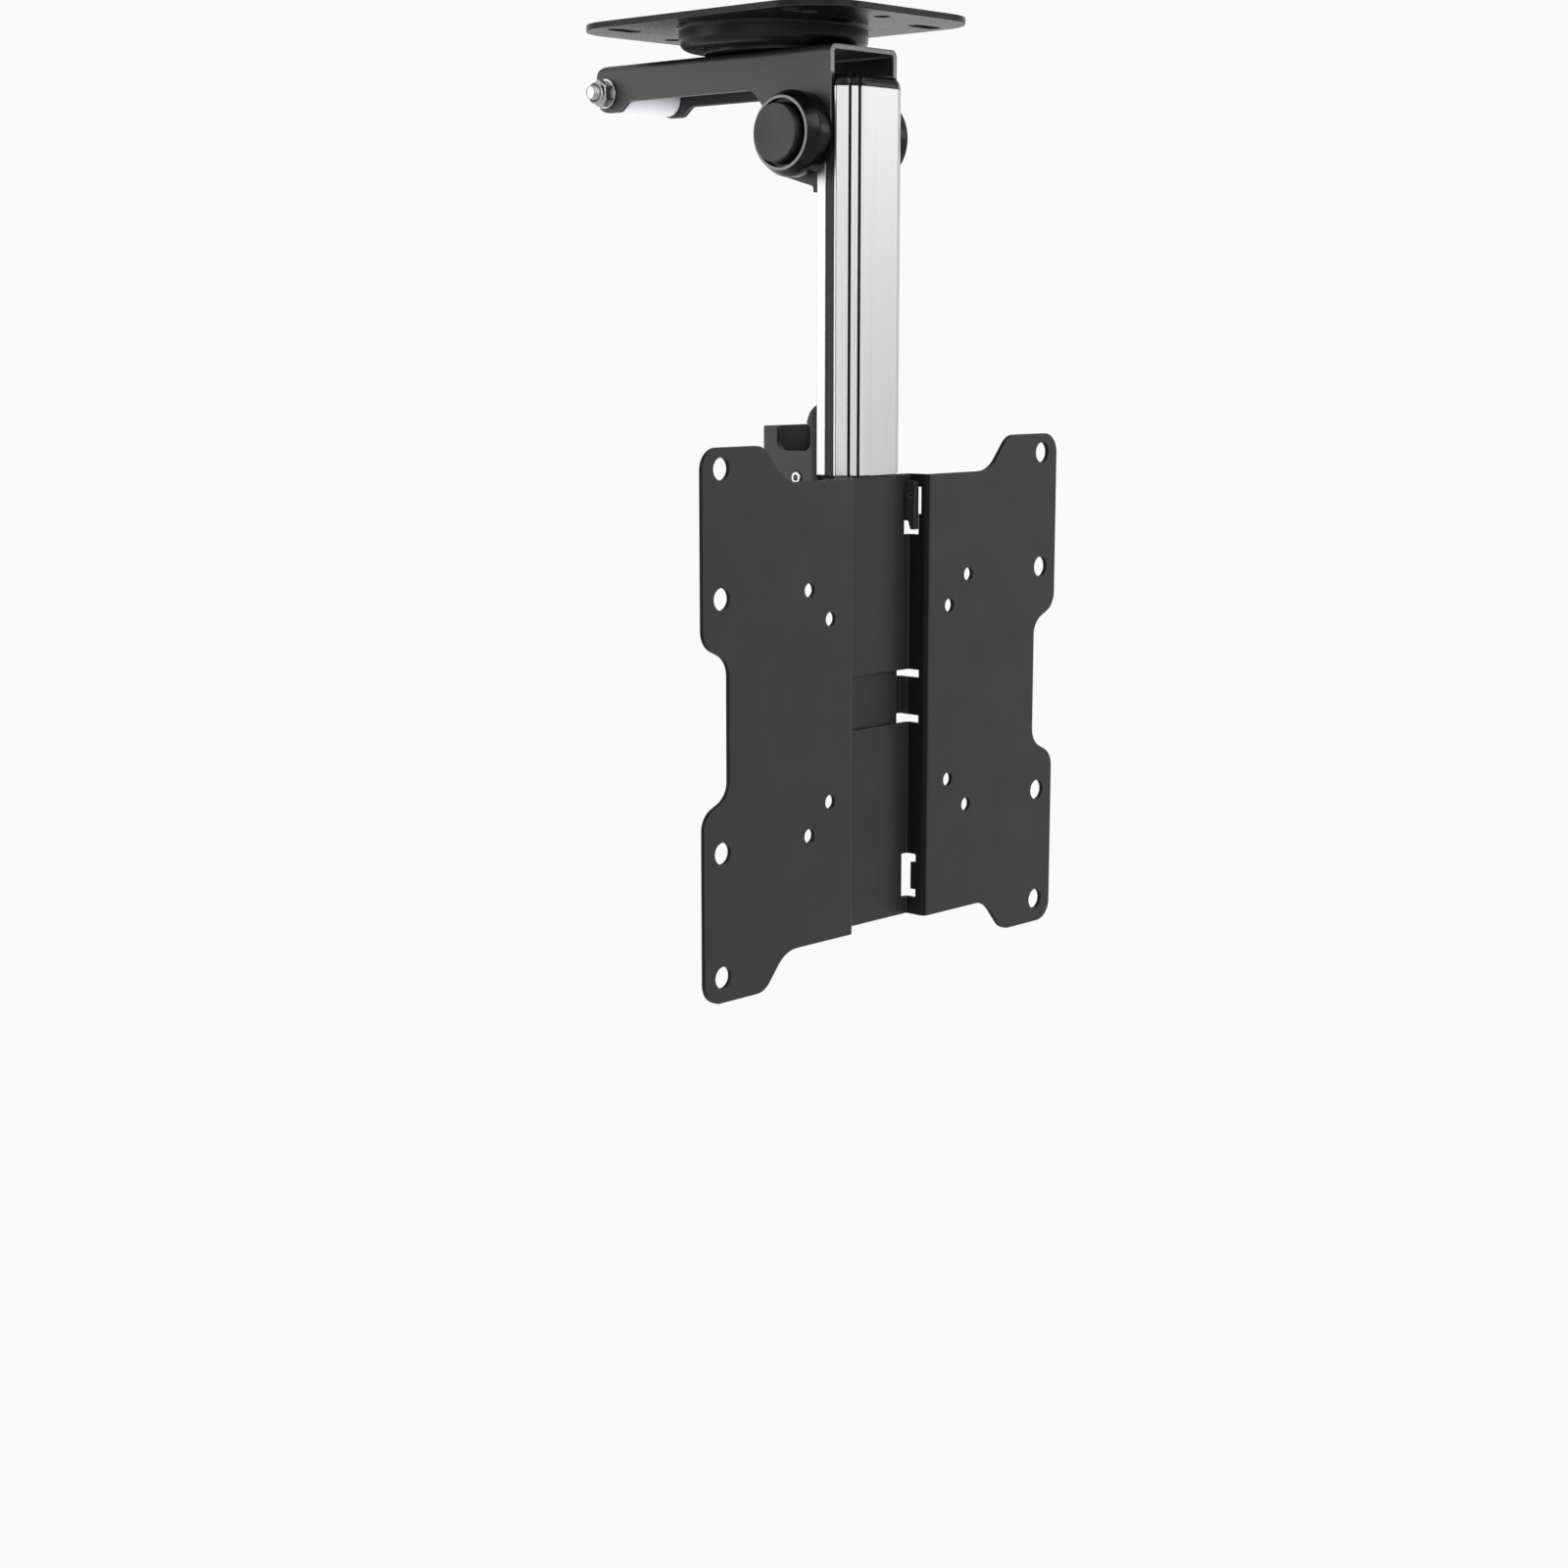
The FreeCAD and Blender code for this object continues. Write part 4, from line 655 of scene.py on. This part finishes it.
# %% Housing
HAIR = 0.00005
AXLE_BORE = 0.00405
BODY_R = 0.0173
RIM_R = 0.0147
MOUTH_R = 0.0134
CHAMBER_R = 0.0135
GUIDE_R = BUTTON_R + 0.0003
FLOOR_X = ARM_HALF + 0.0024
LIP_OUT = RIM_X - 0.0020
LIP_IN = LIP_OUT - 0.0015

housing_ring = [
    (ARM_HALF, BODY_R - 0.0004, 0), (ARM_HALF + 0.6 * HOUSING_HEIGHT, BODY_R, 0.0050),
    (RIM_X, RIM_R, 0.00045), (RIM_X, MOUTH_R, 0.00045), (LIP_OUT, MOUTH_R, 0.0002),
    (LIP_OUT, GUIDE_R, 0.0002), (LIP_IN, GUIDE_R, 0.0002), (LIP_IN, CHAMBER_R, 0.0002),
    (FLOOR_X, CHAMBER_R, 0.0004), (FLOOR_X, AXLE_BORE, 0), (ARM_HALF, AXLE_BORE, 0),
]
profile = rounded_profile(left_side(housing_ring), True, steps=9)
add_piece("housing_moulding", [turned(profile, "X", PIVOT)], "arm", "black_plastic", ["hinge_housing"], True)

# %% [markdown]
# ## The hinge's cover
# On the right side a low closed cover hides the nut on the axle's end. It could stay a plain
# solid, but the facets of its wide rounding would show in the highlight. It is turned like the
# housing, from a section that reaches the axis and leaves room for the nut inside.

# %% Cover
AXLE_NUT = 0.0036
AXLE_TIP = 0.0006
COVER_WALL = 0.0014
COVER_EDGE = 0.0032
COVER_IN = FLOOR_X + AXLE_NUT + AXLE_TIP + HAIR
COVER_OUT = COVER_IN + COVER_WALL
NUT_ROOM_R = BODY_R - COVER_EDGE

cover_ring = [
    (ARM_HALF, AXLE_BORE, 0), (ARM_HALF, BODY_R, 0), (COVER_OUT, BODY_R, COVER_EDGE), (COVER_OUT, 0.0, 0),
    (COVER_IN, 0.0, 0), (COVER_IN, NUT_ROOM_R, COVER_EDGE / 2), (FLOOR_X, NUT_ROOM_R, 0.0004),
    (FLOOR_X, AXLE_BORE, 0),
]
profile = rounded_profile(cover_ring, True, steps=9)
add_piece("cover_moulding", [turned(profile, "X", PIVOT)], "arm", "black_plastic", ["hinge_cover"], True)

# %% [markdown]
# ## The push button
# The button is a hollow cap with a flange that keeps it behind the housing's lip, and its face is
# slightly dished. A flat disc would mirror the light all at once. The dish is the arc of a
# parabola, laid after the corner list, and the two make an open line from axis to axis.

# %% Button
BUTTON_PROUD = 0.0033
BUTTON_SKIN = 0.0018
DISH = 0.0006
DISH_R = BUTTON_R - 0.0014
DISH_ROWS = 14
FLANGE_R = BUTTON_R + 0.0011
FLANGE_THICK = 0.0014
HOLLOW_R = BUTTON_R - BUTTON_SKIN
FACE_X = RIM_X + BUTTON_PROUD
HOLLOW_X = FACE_X - BUTTON_SKIN - DISH
FLANGE_X = LIP_IN - 0.0002
INNER_X = FLANGE_X - FLANGE_THICK

dish_radius = np.linspace(DISH_R, 0.0, DISH_ROWS)
dish = np.stack([FACE_X - DISH * (1 - (dish_radius / DISH_R) ** 2), dish_radius], axis=1)
button_line = [
    (HOLLOW_X, 0.0, 0), (HOLLOW_X, HOLLOW_R, 0.0005), (INNER_X, HOLLOW_R, 0.0002),
    (INNER_X, FLANGE_R, 0.0002), (FLANGE_X, FLANGE_R, 0.0002), (FLANGE_X, BUTTON_R, 0),
    (FACE_X, BUTTON_R, BUTTON_EDGE), (FACE_X, DISH_R, 0),
]
line = rounded_profile(button_line, False, steps=9)
profile = np.concatenate([line, dish[1:]]) * (-1, 1)
add_piece("button_moulding", [turned(profile, "X", PIVOT)], "button", "button_plastic", ["push_button"])

# %% [markdown]
# ## The column's cap
# The moulded cap carries on the column's outline and its grooves, and curves in towards a small
# flat top. A bevelled block would lose the grooves, so each row is an outline, given by its
# distance from the middle at each angle: the smooth least of its straight sides' distances. The
# outline shrinks towards the top as the quarter of an ellipse. Underneath, a hollow plug of the
# same kind reaches down into the column.

# %% Outlines by distance
CAP_MIDDLE = np.array([0.0, -0.0548])
SHARPNESS = 40
GROOVE_SHARES = (0.17, 0.52)
GROOVE_DEPTH = 0.0010
GROOVE_REACH = 0.0007
GROOVE_SLOPE = 0.0002
OUTLINE_POINTS = 720
cap_turn = np.linspace(0, 2 * math.pi, OUTLINE_POINTS, endpoint=False)
TOWARD = np.stack([np.cos(cap_turn), np.sin(cap_turn)], axis=1)


def outline(corners, inset=0.0):
    """Distance to the sides through the +X half's corners and their mirror, moved in by the inset.

    The smooth least is 1 / (sum of (1 / distance) ** sharpness) ** (1 / sharpness), and it
    rounds the corners.
    """
    half = np.array(corners, dtype=float)
    ring = np.concatenate([half, half[::-1] * (-1, 1)]) - CAP_MIDDLE
    sides = np.roll(ring, -1, axis=0) - ring
    outward = np.stack([sides[:, 1], -sides[:, 0]], axis=1) / np.linalg.norm(sides, axis=1, keepdims=True)
    reach = np.einsum("ij,ij->i", ring, outward) - inset
    return 1 / (np.maximum(TOWARD @ outward.T / reach, 0) ** SHARPNESS).sum(axis=1) ** (1 / SHARPNESS)


def grooved(distance):
    """The outline with two grooves cut into each shoulder, at their shares of the shoulder's length."""
    spots = TOWARD * distance[:, None] + CAP_MIDDLE
    start, end = np.array([FLAT_HALF, COLUMN_FRONT]), np.array([COLUMN_HALF, SHOULDER_Y])
    length = np.linalg.norm(end - start)
    along = (np.stack([np.abs(spots[:, 0]), spots[:, 1]], axis=1) - start) @ (end - start) / length
    near = np.min([np.abs(along - share * length) for share in GROOVE_SHARES], axis=0)
    depth = GROOVE_DEPTH * np.clip((GROOVE_REACH - near) / GROOVE_SLOPE, 0, 1)
    return distance - np.where(spots[:, 1] < SHOULDER_Y, depth, 0)


def cap_ring(distance, height):
    """Row of points at one height."""
    spots = TOWARD * distance[:, None] + CAP_MIDDLE
    return np.concatenate([spots, np.full((len(spots), 1), height)], axis=1)


print("an outline has", OUTLINE_POINTS, "points")

# %% Cap
CAP_HEIGHT = 0.0055
CAP_FOOT = 0.0007
CAP_INSET = 0.0038
CAP_ROWS = 12
CAP_BASE = CAP_TOP - CAP_HEIGHT
PLUG_END = CAP_BASE - 0.0070
PLUG_WALL = 0.0016
RIM_REAR = SHOULDER_Y + 0.0013
REAR_HALF = COLUMN_HALF - 0.0020

front_part = [
    (FLAT_HALF, COLUMN_FRONT), (COLUMN_HALF, SHOULDER_Y), (COLUMN_HALF, RIM_REAR), (0.0160, -0.0500),
]
rear_part = [(FLAT_HALF, COLUMN_FRONT), (REAR_HALF, -0.0547), (REAR_HALF, COLUMN_REAR)]
plug_part = [(0.0092, -0.0578), (0.0131, -0.0550), (0.0131, -0.0428)]
plug, core = outline(plug_part), outline(plug_part, PLUG_WALL)
rows = [cap_ring(core * 0, CAP_BASE), cap_ring(core, CAP_BASE), cap_ring(core, PLUG_END)]
rows += [cap_ring(plug, PLUG_END), cap_ring(plug, CAP_BASE)]
for lean in np.linspace(0, math.pi / 2, CAP_ROWS):
    inset = CAP_INSET * (1 - math.cos(lean))
    ring = grooved(np.maximum(outline(front_part, inset), outline(rear_part, inset)))
    if lean == 0:
        rows.append(cap_ring(ring, CAP_BASE))
    rows.append(cap_ring(ring, CAP_BASE + CAP_FOOT + (CAP_HEIGHT - CAP_FOOT) * math.sin(lean)))
rows.append(cap_ring(ring * 0, CAP_TOP))
add_piece("cap_moulding", [np.array(rows)], "column", "black_plastic", ["column_top_cap"])

# %% [markdown]
# ## The button's spring
# A compression spring is one round wire wound into a helix whose end turns lie flat. A curve with
# a round bevel could draw it, but a grid closes the wire's ends too. A ring of points is carried
# along the helix: the centre line turns about the axis while it advances, and it advances only
# between the end turns, which stay closed.

# %% Wound spring
SPRING_HALF = 0.0006
PRESS_TRAVEL = 0.0030
COIL_R = 0.0087
WIRE_R = 0.00055
SPRING_TURNS = 3.0
CLOSED_TURNS = 0.75


def wound_spring(start, end, samples=420, ring=14):
    """Centre = along(t) on the axis + coil radius * (cos, sin) of 2 pi turns t. Ring in its normals."""
    t = np.linspace(0, 1, samples)
    rise = np.clip((t * SPRING_TURNS - CLOSED_TURNS) / (SPRING_TURNS - 2 * CLOSED_TURNS), 0, 1)
    angle = 2 * math.pi * SPRING_TURNS * t
    out = np.stack([np.zeros(samples), np.cos(angle), np.sin(angle)], axis=1)
    along = np.array([1.0, 0.0, 0.0])
    centre = (start + (end - start) * rise)[:, None] * along + COIL_R * out
    turn = np.linspace(0, 2 * math.pi, ring, endpoint=False)
    swell = np.where((t < TINY) | (t > 1 - TINY), 0.0, WIRE_R)[:, None, None]
    return centre[:, None] + swell * (np.cos(turn)[:, None] * out[:, None] + np.sin(turn)[:, None] * along)


spring_low = FLOOR_X + SPRING_HALF + HAIR
spring_high = HOLLOW_X - PRESS_TRAVEL - SPRING_HALF - HAIR
spring_points = wound_spring(-spring_low, -spring_high) + np.array(PIVOT)
add_piece("button_spring_wire", [spring_points], "arm", "spring_steel", ["button_spring"])

# %% [markdown]
# ## Nuts, heads and threads
# A nut's side is a hexagon, but its ends are turned to a cone, and the smaller of the two radii at
# each angle gives the curved chamfer that makes a nut look real. A thread is a triangle wave of
# the distance along the axis, less the turn, so its crest climbs once per turn. A bump could draw
# the thread, but the rear bolt's end stands out of its nut, where the outline shows. Both are
# changes of the radius with the angle, so the same turned surface takes them.

# %% Changes of the radius
HEAD_ROWS = 15
CHAMFER_SHARE = 0.480
CHAMFER_SLOPE = math.tan(math.radians(60))
WAVE_GAIN, WAVE_START = 1.25, 0.05


def hexagon_change(across, low, high):
    """On the rows that stand at across / 2: the smaller of the hexagon and a cone at either end."""
    def change(profile, turn, radius):
        """The hexagon's corners stand at 30 degrees and every 60 degrees on."""
        sector = np.mod(turn - math.pi / 6, math.pi / 3) - math.pi / 6
        side = across / 2 / np.cos(sector)[None]
        inward = np.minimum(profile[:, :1] - low, high - profile[:, :1])
        cone = CHAMFER_SHARE * across + np.maximum(inward, 0) * CHAMFER_SLOPE
        return np.where(np.isclose(profile[:, 1:2], across / 2), np.minimum(side, cone), radius)
    return change


def thread_change(crest, pitch, depth, tip):
    """On the rows that stand at the crest: crest less a triangle wave cut flat, and a cone at the tip."""
    def change(profile, turn, radius):
        """The wave's phase is along / pitch less the share of a full turn."""
        phase = np.mod(profile[:, :1] / pitch - turn[None] / (2 * math.pi), 1.0)
        threaded = crest - depth * np.clip(WAVE_GAIN * np.abs(2 * phase - 1) - WAVE_START, 0, 1)
        cone = crest - depth + np.abs(profile[:, :1] - tip)
        return np.where(np.isclose(profile[:, 1:2], crest), np.minimum(threaded, cone), radius)
    return change


def even_rows(low, high, radius, count):
    """Even rows of one radius between two places on the axis."""
    return np.stack([np.linspace(low, high, count), np.full(count, radius)], axis=1)


print("a chamfer's cone starts at", CHAMFER_SHARE, "of the width across flats")

# %% [markdown]
# ## The lock nut
# A lock nut is a hexagon with a thin collar rolled over a nylon ring, and the ring grips the
# thread. One surface could stand for both, but the ring's other colour shows in the nut's mouth,
# so the ring is a piece of its own.

# %% Lock nut
HEX_SHARE, RING_SHARE, ROLL_SHARE = 0.72, 0.76, 0.16
COLLAR_SHARE, FOOT_SHARE = 0.472, 0.44
MOUTH_SHARE, POCKET_SHARE, RING_OUT_SHARE, RING_IN_SHARE = 1.32, 1.22, 1.20, 1.01
RING_ROUND = 0.0002
POCKET_RIM, POCKET_FLOOR = 0.0004, 0.0008


def lock_nut(name, axis, centre, base, height, across, bore, body, node):
    """Hexagon from the base towards -axis, with a rolled collar, and the nylon ring that it holds.

    Along the axis the shares are of the height. The collar's and the foot's are of the width across
    flats, and those of the mouth, the ring's pocket and the ring are of the bore's radius.
    """
    top = HEX_SHARE * height
    collar = COLLAR_SHARE * across
    roll = [(top, collar, 0), (height, collar, ROLL_SHARE * height), (height, MOUTH_SHARE * bore, 0)]
    line = np.concatenate([
        [[0.0, bore], [0.0, FOOT_SHARE * across]], even_rows(0.0, top, across / 2, HEAD_ROWS),
        rounded_profile(roll, False),
        [[height - POCKET_RIM, POCKET_SHARE * bore], [height - POCKET_FLOOR, bore]],
    ])
    ring_low, ring_high = RING_SHARE * height, height - RING_ROUND
    ring_in, ring_out = RING_IN_SHARE * bore, RING_OUT_SHARE * bore
    ring = rounded_profile([
        (ring_low, ring_in, RING_ROUND / 2), (ring_low, ring_out, RING_ROUND / 2),
        (ring_high, ring_out, RING_ROUND), (ring_high, ring_in, RING_ROUND),
    ], True, steps=4)
    shapes = ((name, line, [hexagon_change(across, 0.0, top)], [node], "zinc", None),
              (name + "_ring", ring, [], [], "nylon", THREAD_INSERT))
    for label, section, changes, replaced, slot, material in shapes:
        points = turned(section, axis, (0, 0, 0), changes)
        which = "XYZ".index(axis)
        points[..., which] = base - points[..., which]
        add_piece(label, [points + np.array(centre)], body, slot, replaced, True, material)


# %% [markdown]
# ## A bolt
# A bolt is one line turned about its axis: the tip, the thread, the plain shank and the hexagon
# head with a shallow dimple, as cold forging leaves it. Head and shank could be two pieces, but
# one surface has no seam between them.

# %% Bolt
THREAD_ROWS = 110
STEP = 0.0001
SHANK_RELIEF = 0.00002


def turned_bolt(name, axis, centre, places, radii, across, thread, dimple, body, node):
    """One open line from the tip's middle along thread, shank and hexagon head to the head's middle.

    Places are the tip, the thread's end, the head's foot and its top. Radii are the thread's crest,
    the tip, the head's foot and its top. Thread is (pitch, depth), and dimple is (depth, radius).
    """
    tip, thread_end, foot, top = places
    crest, tip_radius, foot_radius, top_radius = radii
    floor = top - dimple[0]
    line = np.concatenate([
        [[tip, 0.0], [tip, tip_radius]], even_rows(tip + STEP, thread_end, crest, THREAD_ROWS),
        [[thread_end + STEP, crest - SHANK_RELIEF], [foot, crest - SHANK_RELIEF], [foot, foot_radius]],
        even_rows(foot, top, across / 2, HEAD_ROWS), [[top, top_radius], [floor, dimple[1]], [floor, 0.0]],
    ])
    changes = [thread_change(crest, *thread, tip), hexagon_change(across, foot, top)]
    add_piece(name, [turned(line, axis, centre, changes)], body, "zinc", [node])


# %% [markdown]
# ## The rear bolt
# A bolt runs across the arm's rear end, with its head on the right, a washer on either side and a
# lock nut on the left. Its axis is measured from the arm's rear end and top face, and its tip is
# the plain bolt's own. The washers' rims are rounded as a press leaves them. The swivel's bolt and
# nut come from the same two functions, so only the sizes differ.

# %% Bolt, nut and washers across the rear end
CROSS = (0.0, arm_high[1] - 0.0062, arm_high[2] - 0.0117)
CROSS_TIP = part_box("cross_bolt")[0][0]
CROSS_ACROSS = 0.0100
CROSS_BORE = 0.00305
CROSS_NUT_HEIGHT = 0.0060
WASHER_R = 0.00635
WASHER_OUT = ARM_HALF + 0.0012
CROSS_HEAD = WASHER_OUT + 0.0040

turned_bolt(
    "cross_bolt_turned", "X", CROSS, places=(CROSS_TIP, -0.0205, WASHER_OUT, CROSS_HEAD),
    radii=(0.0030, 0.0021, 0.0044, 0.0040), across=CROSS_ACROSS, thread=(0.0010, 0.0005),
    dimple=(0.0002, 0.0036), body="arm", node="cross_bolt",
)
lock_nut(
    "cross_nut_turned", "X", CROSS, -WASHER_OUT, CROSS_NUT_HEIGHT, CROSS_ACROSS, CROSS_BORE,
    "arm", "cross_lock_nut",
)

washer_ring = [
    (ARM_HALF, CROSS_BORE, 0.0001), (ARM_HALF, WASHER_R, 0.0003),
    (WASHER_OUT, WASHER_R, 0.0004), (WASHER_OUT, CROSS_BORE, 0.0001),
]
sides = (washer_ring, left_side(washer_ring))
washers = [turned(rounded_profile(ring, True, 5), "X", CROSS) for ring in sides]
add_piece("cross_washers_turned", washers, "arm", "zinc", ["cross_washers"], True)

# %% [markdown]
# ## The nylon sleeve
# A white sleeve turns on the rear bolt and keeps the arm's two sides apart. When the column folds
# up, the yoke comes close under it. A plain tube would do from afar. This one is moulded, so its
# ends are rounded, and the middle is drawn in a little, as thick nylon shrinks when it cools.

# %% Sleeve
SLEEVE_HALF = 0.0179
SLEEVE_R = 0.0074
SHRINK_HALF = 0.0168
SHRINK = 0.00012

end_corners = [(SLEEVE_HALF, CROSS_BORE, 0.0003), (SLEEVE_HALF, SLEEVE_R, 0.0007), (SHRINK_HALF, SLEEVE_R, 0)]
end = rounded_profile(end_corners, False)
middle = even_rows(SHRINK_HALF - 0.0003, 0.0003 - SHRINK_HALF, SLEEVE_R, 25)
middle[:, 1] -= SHRINK * (1 - (middle[:, 0] / SHRINK_HALF) ** 2)
sleeve_points = turned(np.concatenate([end, middle, end[::-1] * (-1, 1)]), "X", CROSS)
add_piece("spacer_sleeve_moulding", [sleeve_points], "arm", "nylon", ["spacer_sleeve"], True)

# %% [markdown]
# ## The swivel bolt
# Seen from below, between the arm's sides, the swivel's washer, lock nut and bolt end show. From
# above, before the plate is screwed up, the bolt's head shows in the pan. The swivel's axis is the
# Z axis, so both pieces are turned about it.

# %% Swivel bolt and nut
SWIVEL_CENTRE = (0.0, 0.0, 0.0)
SWIVEL_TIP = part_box("swivel_bolt")[0][2]
SWIVEL_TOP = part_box("swivel_bolt")[1][2]
SWIVEL_NUT_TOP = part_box("swivel_lock_nut")[1][2]
SWIVEL_ACROSS = 0.0170
SWIVEL_BORE = 0.00505
SWIVEL_HEAD_HEIGHT = 0.0060
SWIVEL_NUT_HEIGHT = 0.0090

turned_bolt(
    "swivel_bolt_turned", "Z", SWIVEL_CENTRE,
    places=(SWIVEL_TIP, -0.0170, SWIVEL_TOP - SWIVEL_HEAD_HEIGHT, SWIVEL_TOP),
    radii=(0.0050, 0.0039, 0.0074, 0.0072), across=SWIVEL_ACROSS, thread=(0.0015, 0.0008),
    dimple=(0.0003, 0.0067), body="ceiling", node="swivel_bolt",
)
lock_nut(
    "swivel_nut_turned", "Z", SWIVEL_CENTRE, SWIVEL_NUT_TOP, SWIVEL_NUT_HEIGHT, SWIVEL_ACROSS, SWIVEL_BORE,
    "ceiling", "swivel_lock_nut",
)

# %% [markdown]
# ## Background and sky
# The bracket hangs in front of plain white. A white sky as bright as that would also light it from
# all sides and wash it out. So the background is white for the camera and for mirror-like and
# see-through rays, through Light Path, while the sky that lights the bracket has a level of its own.

# %% World
WHITE = (0.955, 0.955, 0.955, 1.0)
SKY_LEVEL = 0.50


def clear_rays(tree):
    """1 for camera, glossy and transmission rays, 0 for the soft light that falls on surfaces."""
    path = add_node(tree, "ShaderNodeLightPath").outputs
    sharp = math_node(tree, "MAXIMUM", path["Is Glossy Ray"], path["Is Transmission Ray"])
    return math_node(tree, "MAXIMUM", path["Is Camera Ray"], sharp)


world = bpy.data.worlds.new("studio")
scene.world = world
world.use_nodes = True
tree = world.node_tree
sky = tree.nodes["Background"]
sky.inputs["Color"].default_value = (1.0, 1.0, 1.0, 1.0)
sky.inputs["Strength"].default_value = SKY_LEVEL
plain = add_node(tree, "ShaderNodeBackground", {"Color": WHITE, "Strength": 1.0})
mixed = add_node(tree, "ShaderNodeMixShader", {0: clear_rays(tree), 1: sky.outputs[0], 2: plain.outputs[0]})
tree.links.new(mixed.outputs[0], tree.nodes["World Output"].inputs["Surface"])
print("sky level", SKY_LEVEL)

# %% [markdown]
# ## The floor
# The floor is far below the bracket. A plain floor would show as a grey plane with an edge, so it
# is mixed with the background's white, and far out it is nothing else. Near the middle it keeps
# part of its own shading, so that the bracket's soft shadow stays on it.

# %% Floor
FLOOR_LEVEL = -1.1
FLOOR_HALF = 4.0
FLOOR_TONE = (0.9, 0.9, 0.9, 1.0)
FLOOR_ROUGHNESS = 0.9
SHADOW_NEAR, SHADOW_FAR = 0.35, 0.85
WHITE_NEAR, WHITE_FAR = 0.55, 1.0

floor_mesh = bpy.data.meshes.new("floor")
corners = [(x * FLOOR_HALF, y * FLOOR_HALF, FLOOR_LEVEL) for x, y in ((-1, -1), (1, -1), (1, 1), (-1, 1))]
floor_mesh.from_pydata(corners, [], [(0, 1, 2, 3)])
floor = bpy.data.objects.new("floor", floor_mesh)
scene.collection.objects.link(floor)
floor_finish = bpy.data.materials.new("floor_white")
floor_finish.use_nodes = True
tree = floor_finish.node_tree
shader = tree.nodes["Principled BSDF"]
shader.inputs["Base Color"].default_value = FLOOR_TONE
shader.inputs["Roughness"].default_value = FLOOR_ROUGHNESS
shader.inputs["Specular IOR Level"].default_value = 0.0
flat_place = vector_node(tree, "MULTIPLY", own_place(tree), (1.0, 1.0, 0.0))["Vector"]
away = vector_node(tree, "LENGTH", flat_place)["Value"]
share = spread(tree, away, WHITE_NEAR, WHITE_FAR, SHADOW_NEAR, SHADOW_FAR)
plain = add_node(tree, "ShaderNodeEmission", {"Color": WHITE, "Strength": 1.0}).outputs[0]
white_share = math_node(tree, "MULTIPLY", clear_rays(tree), share)
mixed = add_node(tree, "ShaderNodeMixShader", {0: white_share, 1: shader.outputs[0], 2: plain})
tree.links.new(mixed.outputs[0], tree.nodes["Material Output"].inputs["Surface"])
floor_mesh.materials.append(floor_finish)
print("floor at", FLOOR_LEVEL)

# %% [markdown]
# ## The lights
# Five soft panels light the bracket: from the front left and right, from high in front, from
# behind on the left and from low on the left. Lamps without size would leave hard spots on the
# satin coat. The low panel isn't mirrored, so it only fills the shadows.

# %% Lights
MIDDLE = (0.0, -0.02, -0.19)


def panel(name, place, size, power, mirrored=True):
    """A soft light facing the bracket's middle. One that isn't mirrored only fills, as a far wall does."""
    data = bpy.data.lights.new(name, "AREA")
    data.shape = "RECTANGLE"
    data.size, data.size_y = size
    data.energy = power
    lamp = bpy.data.objects.new(name, data)
    scene.collection.objects.link(lamp)
    lamp.location = place
    lamp.rotation_euler = (Vector(MIDDLE) - Vector(place)).to_track_quat("-Z", "Y").to_euler()
    lamp.visible_glossy = mirrored


panel("front_left", (-1.5, -1.1, 0.6), (2.0, 2.0), 13.0)
panel("front_right", (1.29, -1.19, 0.28), (0.4, 0.4), 1.7)
panel("front_high", (0.1, -0.8, 0.35), (0.5, 0.5), 4.0)
panel("rear_left", (-1.3, 1.2, 0.2), (0.9, 1.4), 8.0)
panel("low_left", (-1.2, -0.1, -0.95), (1.2, 1.2), 30.0, mirrored=False)
